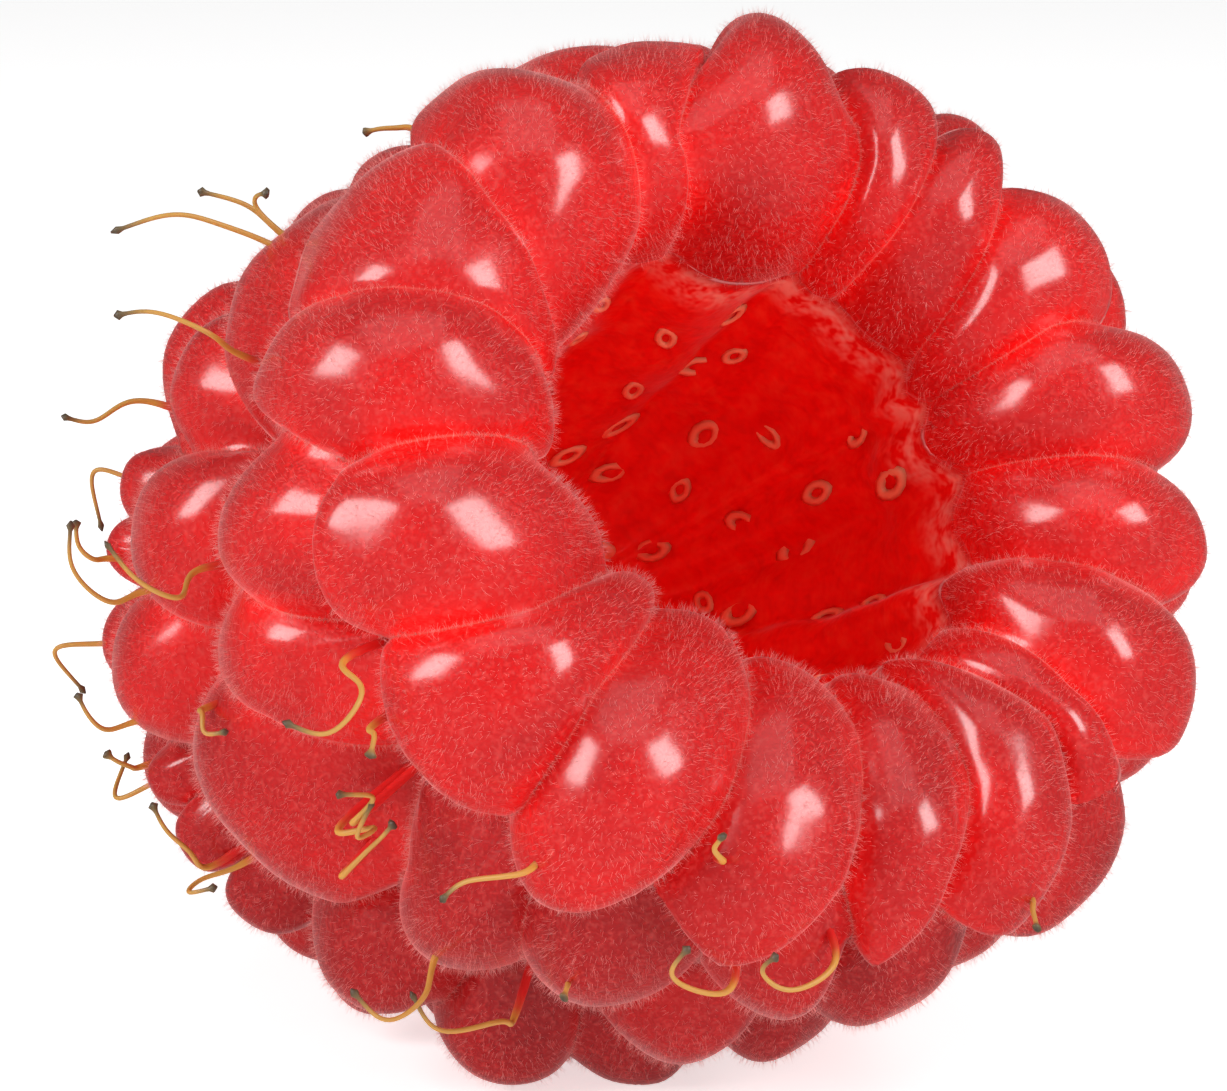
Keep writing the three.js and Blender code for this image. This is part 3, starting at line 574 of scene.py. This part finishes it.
def hollow_wall():
    """Rings of the wall from the lip's places down: each place runs inward with a power of the
    share of the way to the bottom, and evenly down."""
    lip = skin_places[loops[-1]]
    part = (np.arange(1, HOLLOW_RINGS) / HOLLOW_RINGS)[:, None]
    narrowed = (1 - part ** HOLLOW_ROUND) ** HOLLOW_POWER
    height = lip[:, 2] * (1 - part) - HOLLOW_DEPTH * part
    wall = np.stack([lip[:, 0] * narrowed, lip[:, 1] * narrowed, height], -1)
    uneven = WALL_UNEVEN * ripple(wall, WALL_UNEVEN_LENGTH, seed=8)
    uneven *= blend(*WALL_UNEVEN_START, part)
    wall[..., :2] *= 1 + uneven[..., None] / LIP_RADIUS
    return wall


wall_rings = hollow_wall()
wall_numbers = len(skin_places) + np.arange(wall_rings[..., 0].size)
wall_numbers = wall_numbers.reshape(wall_rings.shape[:2])
fruit_faces = np.concatenate([
    skin_faces, ring_faces(np.vstack([loops[-1], wall_numbers])),
    fan_faces(wall_numbers[-1], wall_numbers.max() + 1),
])
fruit_laid = settle_down(np.concatenate([
    skin_places, wall_rings.reshape(-1, 3), [[0, 0, -HOLLOW_DEPTH]],
]))


def add_object(name, data):
    """Puts an object with this data into the scene."""
    made = bpy.data.objects.new(name, data)
    bpy.context.collection.objects.link(made)
    return made


def add_piece(name, places, faces, material):
    """Makes a smooth mesh object from places in mm, in the frame where the fruit lies, with its
    place in its mesh."""
    mesh = bpy.data.meshes.new(name)
    mesh.from_pydata(places * 0.001, [], faces, shade_flat=False)
    mesh.materials.append(material)
    mesh.validate()
    piece = add_object(name, mesh)
    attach(piece, "root")
    return piece


def add_values(piece, name, values):
    """Stores a number for each point of a piece."""
    attribute = piece.data.attributes.new(name, "FLOAT", "POINT")
    attribute.data.foreach_set("value", np.asarray(values, dtype=np.float32))


def linear(hex_colour):
    """The linear colour of an sRGB hex value."""
    channels = np.array([int(hex_colour[i : i + 2], 16) / 255 for i in (1, 3, 5)])
    low = channels / 12.92
    high = ((channels + 0.055) / 1.055) ** 2.4
    return (*np.where(channels <= 0.04045, low, high), 1.0)


def put(material, kind, inputs=(), stops=(), out=0, **settings):
    """Adds a node with its settings and a ramp's stops, and gives one of its outputs. Each input
    is linked where a socket is given, and set where a value is."""
    tree = material.node_tree
    made = tree.nodes.new("ShaderNode" + kind)
    for name, value in settings.items():
        setattr(made, name, value)
    for name, value in dict(inputs).items():
        if isinstance(value, bpy.types.NodeSocket):
            tree.links.new(value, made.inputs[name])
        else:
            made.inputs[name].default_value = value
    for i, (at, hex_colour) in enumerate(stops):
        stop = made.color_ramp.elements[i] if i < 2 else made.color_ramp.elements.new(at)
        stop.position = at
        stop.color = linear(hex_colour)
    return made.outputs[out] if made.outputs else None


def new_material(name):
    """An empty material, for a surface and its output to be put into."""
    material = bpy.data.materials.new(name)
    material.use_nodes = True
    material.node_tree.nodes.clear()
    return material


# The skin of a ripe raspberry: thin and taut over red juice, so light enters and comes back out
# redder beside the creases, where the flesh is thin; its colour has that glow painted in too, and
# painted shade makes it darker lower down. The wall of the hollow has no such skin: it is wet and
# deep red, with fibres, and pale and ragged where it was torn open; its red is painted up to full
# strength as glow of light through the flesh.
PATCH_LENGTH = 2.4  # mm across a riper or less ripe patch
PORE_LENGTH = 0.12  # mm between the dimples of the down
SLACK_LENGTH = 1.2  # mm across a slack wrinkle of the skin
FIBRE_LENGTH = 0.5  # mm between the fibres of the wall
LIP_BAND = (0.0, 0.5)  # mm down the wall over which the skin gives way to it
TORN_BAND = (0.1, 1.5)  # mm down the wall over which the torn fibres fade


def drupelet_flesh():
    """Skin and wall in one: colour by the values for each place, gloss like wet glass under a
    soft velvet of down."""
    material = new_material("raspberry flesh")
    place = put(material, "TexCoord", out="Object")
    share, tone, inward = (
        put(material, "Attribute", out="Fac", attribute_name=name)
        for name in ("share", "tone", "inward")
    )

    # from the domes through a band of painted glow, light through the thin flesh, to a pale edge in
    # the crease where the down stands thick, with painted sheen of the down seen edge-on
    skin = put(material, "ValToRGB", {"Fac": share}, [
        (0.0, "#dc0a0b"), (1.0, "#fa6a5e"), (0.5, "#dc0809"), (0.8, "#ec0504"), (0.94, "#fa0402"),
        (0.975, "#fc140c"),
    ])
    patches = put(material, "TexNoise", {
        "Vector": place, "Scale": 1000 / PATCH_LENGTH, "Detail": 1.0,
    })
    ripe = put(material, "MapRange", {
        "Value": patches, "From Min": 0.35, "From Max": 0.68, "To Max": 0.55,
    })
    skin = put(material, "Mix", {0: ripe, 6: skin, 7: linear("#ac090e")}, out=2, data_type="RGBA")
    # darker by tone: partly chance ripeness, mostly painted shade lower down
    deep = put(material, "MapRange", {"Value": tone, "To Min": 0.72, "To Max": 0.0})
    skin = put(material, "Mix", {0: deep, 6: skin, 7: linear("#6e060c")}, out=2, data_type="RGBA")
    pores = put(material, "TexNoise", {"Vector": place, "Scale": 1000 / PORE_LENGTH, "Detail": 1.0})
    frost = put(material, "MapRange", {
        "Value": pores, "From Min": 0.48, "From Max": 0.72, "To Max": 0.2,
    })
    skin = put(material, "Mix", {0: frost, 6: skin, 7: linear("#f06860")}, out=2, data_type="RGBA")

    # the wall: blotches of juice, fibres, and the pale torn edge; its red is painted up to full
    # strength as glow of light through the flesh
    fibres = put(material, "TexNoise", {
        "Vector": place, "Scale": 1000 / FIBRE_LENGTH, "Detail": 2.0, "Roughness": 0.75,
    })
    wall = put(material, "ValToRGB", {"Fac": fibres}, [
        (0.32, "#f00000"), (0.68, "#ff2a18"), (0.5, "#fc0601"),
    ])
    torn = put(material, "MapRange", {
        "Value": inward, "From Min": TORN_BAND[0], "From Max": TORN_BAND[1],
        "To Min": 0.85, "To Max": 0.0,
    })
    strands = put(material, "MapRange", {"Value": fibres, "From Min": 0.4, "From Max": 0.62})
    torn = put(material, "Math", {0: torn, 1: strands}, operation="MULTIPLY")
    wall = put(material, "Mix", {0: torn, 6: wall, 7: linear("#ffb9a4")}, out=2, data_type="RGBA")
    inside = put(material, "MapRange", {
        "Value": inward, "From Min": LIP_BAND[0], "From Max": LIP_BAND[1],
    })
    colour = put(material, "Mix", {0: inside, 6: skin, 7: wall}, out=2, data_type="RGBA")
    slack = put(material, "TexNoise", {
        "Vector": place, "Scale": 1000 / SLACK_LENGTH, "Detail": 1.0,
    })
    slack = put(material, "Bump", {"Height": slack, "Strength": 0.6, "Distance": 0.00009})
    height = put(material, "Mix", {0: inside, 2: pores, 3: fibres})
    bump = put(material, "Bump", {
        "Height": height, "Strength": 0.5, "Distance": 0.00009, "Normal": slack,
    })
    roughness = put(material, "MapRange", {
        "Value": patches, "From Min": 0.3, "From Max": 0.7, "To Min": 0.4, "To Max": 0.52,
    })
    shader = put(material, "BsdfPrincipled", {
        "Base Color": colour, "Roughness": roughness, "IOR": 1.4, "Subsurface Weight": 0.5,
        "Subsurface Radius": (1.0, 0.06, 0.04), "Subsurface Scale": 0.0010,
        "Specular IOR Level": 0.3, "Sheen Weight": 1.0, "Sheen Roughness": 0.24,
        "Sheen Tint": linear("#ffb0ae"), "Coat Weight": 0.9, "Coat Roughness": 0.2,
        "Coat IOR": 1.7, "Normal": bump,
    }, subsurface_method="BURLEY")
    put(material, "OutputMaterial", {"Surface": shader})
    return material


RIPE_SPREAD = 0.22  # of the drupelets' difference in darkness is chance ripeness ...
SHADE_HEIGHTS = (0, 12)  # ... and the rest is painted shade over these heights, darkest below


def mark_creases(mesh):
    """Makes the creases between the drupelets crisp: the edges whose two ends are crease points,
    apart from the soft lip of the hollow."""
    ends = np.empty(2 * len(mesh.edges), dtype=np.int32)
    mesh.edges.foreach_get("vertices", ends)
    ends = ends.reshape(-1, 2)
    crisp = (ends.max(1) < len(crease_at)) & ~np.isin(ends, loops[-1]).all(1)
    mesh.attributes.new("sharp_edge", "BOOLEAN", "EDGE").data.foreach_set("value", crisp)


fruit = add_piece("raspberry", fruit_laid, fruit_faces, drupelet_flesh())
mark_creases(fruit.data)
wall_down = (skin_places[loops[-1], 2] - wall_rings[..., 2]).ravel()
beyond_skin = len(fruit_laid) - len(skin_places)
add_values(fruit, "share", np.append(skin_share, np.zeros(beyond_skin)))
drupelet_ripeness_and_shade = RIPE_SPREAD * chance(np.arange(drupelet_count), 7)
drupelet_ripeness_and_shade += (1 - RIPE_SPREAD) * blend(*SHADE_HEIGHTS, settle_down(
    fruit_places(drupelet_at, 0))[:, 2])
# crease points take only the painted shade by height
edge_painted_shade = blend(*SHADE_HEIGHTS, fruit_laid[: len(crease_at), 2])
add_values(fruit, "tone", np.concatenate([
    edge_painted_shade, drupelet_ripeness_and_shade[skin_owner[len(crease_at) :]], np.ones(beyond_skin)]))
add_values(fruit, "inward", np.concatenate([
    np.zeros(len(skin_places)), wall_down, [HOLLOW_DEPTH]]))
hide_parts("berry")

# ---- the scars
# Where each drupelet hung on the core, its torn bundle of vessels left a small pointed ring on
# the wall. They wind down the hollow in even spirals.
SCAR_COUNT = 76
SCAR_TURN = 137.508  # degrees from one to the next
SCAR_DEPTHS = (0.13, 0.9)  # shares of the way to the bottom
SCAR_HALF = (0.38, 0.2)  # mm, half its length and width
SCAR_THICK = 0.1  # mm, half the width of its raised edge
SCAR_RISE = 0.05  # mm, of that edge over the wall
SCAR_POINTED = 0.3  # how pointed its ends are
SCAR_STRAY = 0.12  # radians off the spiral
SCAR_SLANT = 0.5  # radians, of its length off straight down
SCAR_SIZES = (0.75, 1.15)
SCAR_BESIDE = 3  # places to each side that give the wall's way round
SCAR_STEPS = 12
SCAR_SIDES = 4


def scar_rings():
    """Closed rings on the wall: a pointed oval round each place, whose length runs at a random
    slant, carried along by a small four-sided section half sunk in the wall."""
    draw = np.random.default_rng(21)
    number = np.arange(SCAR_COUNT)
    part = SCAR_DEPTHS[0] + (SCAR_DEPTHS[1] - SCAR_DEPTHS[0]) * (number + 0.5) / SCAR_COUNT
    ring = np.round(part * HOLLOW_RINGS).astype(int) - 1
    lip = skin_places[loops[-1]]
    wanted = np.radians(number * SCAR_TURN) + draw.normal(0, SCAR_STRAY, SCAR_COUNT)
    apart = np.arctan2(lip[:, 1], lip[:, 0]) - wanted[:, None]
    column = np.cos(apart).argmax(1)
    place = wall_rings[ring, column]
    down = unit(wall_rings[ring + 1, column] - wall_rings[ring - 1, column])
    beside = (column + SCAR_BESIDE) % len(lip)
    around = wall_rings[ring, beside] - wall_rings[ring, column - SCAR_BESIDE]
    out = unit(np.cross(down, around))
    out *= -np.sign((out * place * [1, 1, 0]).sum(1, keepdims=True))
    around = np.cross(out, down)
    slant = draw.normal(0, SCAR_SLANT, (SCAR_COUNT, 1))
    length = np.cos(slant) * down + np.sin(slant) * around
    width = np.cross(out, length)
    size = draw.uniform(*SCAR_SIZES, (SCAR_COUNT, 1, 1, 1))
    turn = np.linspace(0, 2 * pi, SCAR_STEPS, endpoint=False)[:, None, None]
    section = np.linspace(0, 2 * pi, SCAR_SIDES, endpoint=False)[:, None]
    reach = 1 + SCAR_THICK / SCAR_HALF[1] * np.cos(section)
    over_length = SCAR_HALF[0] * np.cos(turn) * reach
    over_width = SCAR_HALF[1] * np.sin(turn) * np.abs(np.sin(turn)) ** SCAR_POINTED * reach
    at, length, width, out = (v[:, None, None] for v in (place, length, width, out))
    ring = size * (over_length * length + over_width * width)
    return at + ring + SCAR_RISE * np.sin(section) * out


def tube_faces(count, steps, sides, closed):
    """Triangles of like tubes of rings, one after the other in a list of places. A closed tube's
    last ring meets its first."""
    numbers = np.arange(steps * sides).reshape(steps, sides)
    if closed:
        numbers = np.vstack([numbers, numbers[:1]])
    first = np.arange(count)[:, None, None] * steps * sides
    return (ring_faces(numbers)[None] + first).reshape(-1, 3)


def scar_tissue():
    """Dry torn tissue: paler and duller than the wet wall round it."""
    material = new_material("torn vessel ends")
    shader = put(material, "BsdfPrincipled", {
        "Base Color": linear("#ff8a66"), "Roughness": 0.5, "IOR": 1.4,
    })
    put(material, "OutputMaterial", {"Surface": shader})
    return material


scar_places = lay_down(scar_rings().reshape(-1, 3)) + MOUTH_AT
scars = add_piece(
    "scars", scar_places, tube_faces(SCAR_COUNT, SCAR_STEPS, SCAR_SIDES, True), scar_tissue(),
)

# ---- the styles
# The dried styles still stand on some drupelets: golden brown threads that rise from a red
# fleshy foot in a crease, curl as they dried, and end in a flared dark stigma.
STYLE_FOOT = 0.15  # mm, how far under the outline a style's foot is ...
STYLE_ROOT = 2.8  # ... and how much deeper it is rooted in the flesh
FRONT_STYLES = [
    (143, 22.8, (-11, 4, 5), (-21, 6, 8), (-33, 12, 4)),
    (141, 22.2, (-6, 2, 6), (-10, 3, 8), (-17, 6, 10)),
    (142, 22.8, (-6, 3, 7), (-6, 2, 9), (-5, -2, 10)),
    (154, 23.2, (-7, -5, 5), (-18, 1, 10), (-25, 4, 9)),
    (148, 16.2, (-6, 1, 0), (-13, 2, -4), (-20, 3, -2)),
    (179, 21.4, (-6, -8, -4), (-14, -4, 0), (-19, 1, 8)),
    (176, 18, (-7, -1, -2), (-15, 2, 6), (-14, 4, 16)),
    (164, 13.4, (-3, -1, 0), (-6, 1, 3), (-6, 2, 9)),
    (189, 14.4, (-6, 0, -1), (-10, 0, 3), (-12, 1, 8)),
    (193, 12, (-2, -2, 1), (-6, -2, 3), (-8, -1, 5)),
    (209, 13.8, (-4, -2, 5), (-9, 0, 10), (-11, 3, 16)),
    (210, 17, (-9, 1, -2), (-13, -1, -4), (-8, -6, -2)),
    (196, 19.8, (-2, -6, 1), (-3, -8, -3), (1, -12, -2)),
    (201, 26.2, (1, -10, -3), (-8, -12, -11), (-16, -8, -8)),
    (206, 26, (0, -3, 0), (-2, -6, -2), (-3, -7, -4)),
    (211, 23.2, (3, -6, 7), (-2, -6, 8), (-5, -4, 8)),
    (211, 22.4, (6, -9, 3), (0, -10, 1), (3, -13, 10)),
    (214, 21.2, (5, -6, 8), (6, -8, 10), (7, -12, 14)),
    (224, 26.8, (-8, -2, 0), (-17, -2, 0), (-22, -3, -3)),
    (245, 20.6, (-4, -5, 3), (-19, -3, 2), (-24, -1, 11)),
    (229, 21.4, (-5, -6, -6), (-14, -6, -10), (-20, -2, -3)),
    (256, 26.2, (-10, -1, 2), (-15, -1, 6), (-12, -4, 12)),
    (265, 27.4, (-12, -1, -4), (-18, 0, 1), (-16, -4, 5)),
    (245, 29, (-3, -1, 3), (-3, -3, 5), (-3, -5, 7)),
    (243, 24, (-2, -3, 0), (-3, -4, -1), (-4, -5, -2)),
    (119, 22.8, (-3, 1, 0), (-7, 2, 0), (-10, 4, -1)),
    (295, 27.8, (-2, -3, -1), (-3, -6, -3), (-4, -8, -4)),
]  # in front: the foot's azimuth and length, and the places from it, in tenths of a mm along
# X, Y and Z, that the thread runs through to its end
TIP_STYLE_SHARE = 0.45  # of the drupelets toward the tip that keep theirs
TIP_STYLE_END = 11.0  # length
TIP_STYLE_OUT = 1.3  # mm straight out ...
TIP_STYLE_BEND = 1.5  # ... and then over to the tip
TIP_STYLE_LOWEST = 3  # mm above the surface
STYLE_STEPS = 44
STYLE_EASING = 10  # times each place is drawn toward its neighbours
STYLE_SIDES = 8
FOOT_RADIUS = 0.1  # mm, of the fleshy foot
FOOT_REACH = (-0.9, 0.25)  # mm along the thread from its foot over which that narrows
THREAD_RADIUS = (0.07, 0.045)  # mm, at its start and before its end
STIGMA_RADIUS = 0.115
STIGMA_REACH = (0.02, 0.24)  # mm before the end over which the thread flares to it
STIGMA_BLUNT = 0.06  # mm before the end where it starts to round off ...
STIGMA_FLAT = 0.02  # ... and the share of its section left at the end
STIGMA_LOBES = 0.28  # depth of its two lobes, over its radius ...
STIGMA_LOBE_REACH = (0, 0.3)  # ... and mm before the end over which they fade
THREAD_TAPER = 0.7  # how early a thread gets thin
DRY_REACH = (-0.9, 0.4)  # mm along it over which it turns from red flesh


def thread_path(knots):
    """A smooth path through knots: cubic pieces that leave each knot the way its neighbours lie."""
    gaps = np.sqrt(np.linalg.norm(np.diff(knots, axis=0), axis=1))
    at = np.append(0, np.cumsum(gaps))
    slope = np.gradient(knots, at, axis=0)
    place = np.linspace(0, at[-1], STYLE_STEPS)
    left = np.clip(np.searchsorted(at, place, side="right") - 1, 0, len(gaps) - 1)
    gap = gaps[left][:, None]
    t = (place - at[left])[:, None] / gap
    start = (2 * t ** 3 - 3 * t ** 2 + 1) * knots[left]
    start += (t ** 3 - 2 * t ** 2 + t) * gap * slope[left]
    end = (3 * t ** 2 - 2 * t ** 3) * knots[left + 1] + (t ** 3 - t ** 2) * gap * slope[left + 1]
    return start + end


def thread(knots, number):
    """One style: rings round its path, wide in the fleshy foot, thin along the thread and flared
    to a blunt end. Gives the rings and how dry each is, from 0 to 1."""
    path = thread_path(knots)
    for _ in range(STYLE_EASING):
        path[1:-1] = path[1:-1] / 2 + (path[:-2] + path[2:]) / 4
    along = unit(np.gradient(path, axis=0))
    bend = unit(np.cross(path[-1] - knots[1], path[STYLE_STEPS // 2] - knots[1]))
    across = unit(np.cross(along, bend))
    run = np.append(0, np.cumsum(np.linalg.norm(np.diff(path, axis=0), axis=1)))
    from_foot = run - run[np.linalg.norm(path - knots[1], axis=1).argmin()]
    share = np.clip(from_foot / from_foot[-1], 0, 1)
    radius = THREAD_RADIUS[0] + (THREAD_RADIUS[1] - THREAD_RADIUS[0]) * share ** THREAD_TAPER
    radius += (FOOT_RADIUS - THREAD_RADIUS[0]) * (1 - blend(*FOOT_REACH, from_foot))
    before_end = run[-1] - run
    radius += (STIGMA_RADIUS - THREAD_RADIUS[1]) * (1 - blend(*STIGMA_REACH, before_end))
    radius *= np.sqrt(np.clip(before_end / STIGMA_BLUNT, STIGMA_FLAT, 1))
    turn = np.linspace(0, 2 * pi, STYLE_SIDES, endpoint=False)
    lobes = STIGMA_LOBES * (1 - blend(*STIGMA_LOBE_REACH, before_end))[:, None]
    side = radius[:, None] * (1 + np.cos(2 * turn + number) * lobes)
    beside = np.cross(along, across)
    ring = np.cos(turn)[:, None] * across[:, None] + np.sin(turn)[:, None] * beside[:, None]
    places = path[:, None] + side[..., None] * ring
    dry = (blend(*DRY_REACH, from_foot) + (1 - before_end / from_foot[-1]).clip(0, 1)) / 2
    return places, np.broadcast_to(dry[:, None], side.shape)


def style_knots():
    """The root, the foot and the further places of every style: the front ones as given, and on
    a share of the drupelets toward the tip one that stands out and bends over to the tip."""
    everything = []
    for azimuth, length, *through in FRONT_STYLES:
        mapped = map_direction(radians(azimuth), angle_at(length))
        everything.append((mapped, np.array(through) / 10))
    for cell in np.flatnonzero(length_at(drupelet_at) <= TIP_STYLE_END):
        if chance(cell, 5) > TIP_STYLE_SHARE:
            continue
        swing = (2 * chance(cell, 6) - 1) * drupelet_east[cell]
        everything.append((drupelet_at[cell], unit(lay_down(swing - drupelet_north[cell]))))
    for mapped, through in everything:
        foot = settle_down(fruit_places(mapped, STYLE_FOOT))
        inward = unit(settle_down(fruit_places(mapped, STYLE_FOOT + 1)) - foot)
        if through.ndim == 1:
            if foot[2] < TIP_STYLE_LOWEST:
                continue
            bend = -TIP_STYLE_OUT * inward
            through = np.array([bend, bend + TIP_STYLE_BEND * through])
        yield np.vstack([foot + STYLE_ROOT * inward, foot, foot + through])


def dried_style():
    """Dry fibre, with a dull sheen: red where it is still flesh, then golden, dark at its end."""
    material = new_material("dried style")
    dry = put(material, "Attribute", out="Fac", attribute_name="dry")
    colour = put(material, "ValToRGB", {"Fac": dry}, [
        (0.04, "#d8201e"), (1.0, "#4c4238"), (0.2, "#d24a30"), (0.36, "#cf9440"),
        (0.88, "#c0924a"), (0.96, "#75603f"),
    ])
    shader = put(material, "BsdfPrincipled", {
        "Base Color": colour, "Roughness": 0.42, "IOR": 1.5,
        "Subsurface Weight": 0.25, "Subsurface Radius": (1.0, 0.5, 0.2),
        "Subsurface Scale": 0.0002,
    })
    put(material, "OutputMaterial", {"Surface": shader})
    return material


threads = [thread(knots, number) for number, knots in enumerate(style_knots())]
style_places = np.concatenate([places.reshape(-1, 3) for places, _ in threads])
style_dry = np.concatenate([dry.ravel() for _, dry in threads])
ring_count = STYLE_STEPS * STYLE_SIDES
first_ring = ring_count * np.arange(len(threads))[:, None, None]
end_fan = np.array([(0, side, side + 1) for side in range(1, STYLE_SIDES - 1)])
root_fan = end_fan[:, ::-1]
end_fan = end_fan + ring_count - STYLE_SIDES
style_faces = np.concatenate([
    tube_faces(len(threads), STYLE_STEPS, STYLE_SIDES, False),
    (root_fan + first_ring).reshape(-1, 3), (end_fan + first_ring).reshape(-1, 3),
])
styles = add_piece("styles", style_places, style_faces, dried_style())
add_values(styles, "dry", style_dry)

# ---- the down
# The whole skin is covered with fine pale hairs, a few tenths of a millimetre long and too thin
# to show, so they are drawn coarser. They stand thickest in the creases.
DOWN_PIECES = 4
DOWN_HAIRS = 32000  # of each piece
DOWN_LENGTH = (0.10, 0.27)  # mm
DOWN_THICKNESS = 0.008  # mm at the root
DOWN_SLANT = 0.4  # how far it leans, over how far it stands up
DOWN_IN_CREASES = 2.0  # how much thicker it stands there ...
DOWN_BESIDE_CREASES = 0.35  # ... and beside them, over its thickness on the domes
DOWN_BESIDE = (0.5, 0.85)  # shares of the way to a crease over which it thins out
DOWN_CREASE = 0.96  # the share from which it stands in the crease
DOWN_DROOP = 0.3  # how much its lean is drawn down
DOWN_SUNK = 0.02  # mm, of its root in the skin
DOWN_LOWEST = 0.28  # mm above the surface


def down_hairs(seed):
    """Fine pointed hairs: three places round a root drawn at random over the skin by area, and
    one at the end of a slanted line from it."""
    draw = np.random.default_rng(seed)
    corners = fruit_laid[skin_faces]
    across = np.cross(corners[:, 1] - corners[:, 0], corners[:, 2] - corners[:, 0])
    weight = np.linalg.norm(across, axis=1)
    share = skin_share[skin_faces].mean(1)
    weight *= 1 - (1 - DOWN_BESIDE_CREASES) * blend(*DOWN_BESIDE, share)
    weight += weight * DOWN_IN_CREASES / DOWN_BESIDE_CREASES * (share > DOWN_CREASE)
    weight[corners[..., 2].min(1) < DOWN_LOWEST] = 0
    picked = draw.choice(len(weight), DOWN_HAIRS, p=weight / weight.sum())
    first, second = draw.uniform(size=(2, DOWN_HAIRS, 1))
    over = first + second > 1
    first, second = np.where(over, 1 - first, first), np.where(over, 1 - second, second)
    a, b, c = corners[picked].transpose(1, 0, 2)
    root = a + first * (b - a) + second * (c - a)
    stand = unit(across[picked])
    slant = draw.normal(size=(DOWN_HAIRS, 3)) - [0, 0, DOWN_DROOP]
    way = unit(stand + DOWN_SLANT * unit(slant - (slant * stand).sum(1, keepdims=True) * stand))
    end = root + way * draw.uniform(*DOWN_LENGTH, (DOWN_HAIRS, 1))
    side = unit(np.cross(way, draw.normal(size=(DOWN_HAIRS, 3))))
    turn = np.array([0, 2, 4])[:, None] * pi / 3
    ring = np.cos(turn) * side[:, None] + np.sin(turn) * np.cross(way, side)[:, None]
    base = (root - DOWN_SUNK * way)[:, None] + DOWN_THICKNESS / 2 * ring
    return np.concatenate([base, end[:, None]], 1).reshape(-1, 3)


def pale_down():
    """Fine dry hair, a pale dull pink that takes the hardness out of the skin's gloss."""
    material = new_material("raspberry down")
    shader = put(material, "BsdfPrincipled", {
        "Base Color": linear("#f4a09a"), "Roughness": 0.6, "IOR": 1.45,
    })
    put(material, "OutputMaterial", {"Surface": shader})
    return material


down_material = pale_down()
hair_faces = np.array([(0, 1, 3), (1, 2, 3), (2, 0, 3), (0, 2, 1)])
hair_faces = (hair_faces + 4 * np.arange(DOWN_HAIRS)[:, None, None]).reshape(-1, 3)
for number in range(DOWN_PIECES):
    down = add_piece(f"down_{number + 1}", down_hairs(100 + number), hair_faces, down_material)

# ---- the studio
# A pale seamless floor, a softbox at each side and one overhead, and a large even fill in front
# that takes the darkness out of the creases.
LENS = 150
SENSOR = 36
FRAME_SIZE = (1227, 1091)
MM_PER_PIXEL = 0.0205  # at the mouth's distance
MOUTH_PIXEL = (818, 446)  # where the mouth's middle shows
CAMERA_AZIMUTH = radians(-28.37)
CAMERA_ELEVATION = radians(12)


def direction(azimuth, elevation):
    """The way from the fruit to a camera or light round it and above it."""
    level = cos(elevation)
    return np.array([sin(azimuth) * level, -cos(azimuth) * level, sin(elevation)])


camera = add_object("camera", bpy.data.cameras.new("camera"))
camera.data.lens = LENS
camera.data.sensor_width = SENSOR
camera.data.clip_start = 0.005
camera.data.clip_end = 10
back = direction(CAMERA_AZIMUTH, CAMERA_ELEVATION)
right = np.array([cos(CAMERA_AZIMUTH), sin(CAMERA_AZIMUTH), 0])
above = np.cross(back, right)
place = MOUTH_AT + back * FRAME_SIZE[0] * LENS / SENSOR * MM_PER_PIXEL
place -= right * (MOUTH_PIXEL[0] - FRAME_SIZE[0] / 2) * MM_PER_PIXEL
place += above * (MOUTH_PIXEL[1] - FRAME_SIZE[1] / 2) * MM_PER_PIXEL
camera.location = place * 0.001
camera.rotation_euler = Vector(back).to_track_quat("Z", "Y").to_euler()
bpy.context.scene.camera = camera


def soft_light(name, azimuth, elevation, distance, size, power):
    """A softbox that faces the fruit."""
    light = bpy.data.lights.new(name, "AREA")
    light.shape = "RECTANGLE"
    light.size, light.size_y = size
    light.energy = power
    lamp = add_object(name, light)
    way = Vector(direction(radians(azimuth), radians(elevation)))
    lamp.location = way * distance + Vector((0, 0, 0.01))
    lamp.rotation_euler = way.to_track_quat("Z", "Y").to_euler()
    return lamp


soft_light("softbox left", -88, 32, 0.30, (0.13, 0.17), 0.52)
soft_light("softbox right", 28, 32, 0.30, (0.13, 0.17), 0.54)
soft_light("softbox above", -20, 80, 0.30, (0.25, 0.25), 0.12)
front = soft_light("softbox front", -30, 22, 0.45, (0.40, 0.40), 0.27)
front.visible_glossy = False  # so even that it leaves no highlight of its own

world = bpy.data.worlds.new("studio")
world.use_nodes = True
sky = world.node_tree.nodes["Background"].inputs
sky["Color"].default_value = (1, 1, 1, 1)
sky["Strength"].default_value = 0.12
bpy.context.scene.world = world
bpy.context.scene.view_settings.view_transform = "Standard"

FLOOR_HALF = 1.5  # m
floor_mesh = bpy.data.meshes.new("floor")
floor_corners = np.array([(-1, -1, 0), (1, -1, 0), (1, 1, 0), (-1, 1, 0)]) * FLOOR_HALF
floor_mesh.from_pydata(floor_corners, [], [(0, 1, 2, 3)])
floor_material = new_material("white seamless paper")
paper = put(floor_material, "BsdfPrincipled", {
    "Base Color": linear("#fbfafa"), "Roughness": 0.85, "Emission Color": linear("#ffffff"),
    "Emission Strength": 0.62,
})
put(floor_material, "OutputMaterial", {"Surface": paper})
floor_mesh.materials.append(floor_material)
floor = add_object("floor", floor_mesh)
floor.visible_glossy = False  # matt paper, not a white mirror under every drupelet
floor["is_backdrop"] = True

boxes = {"cad": cad_box, "visual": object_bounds()}
{k: [[float(v) for v in c] for c in box] for k, box in boxes.items()}
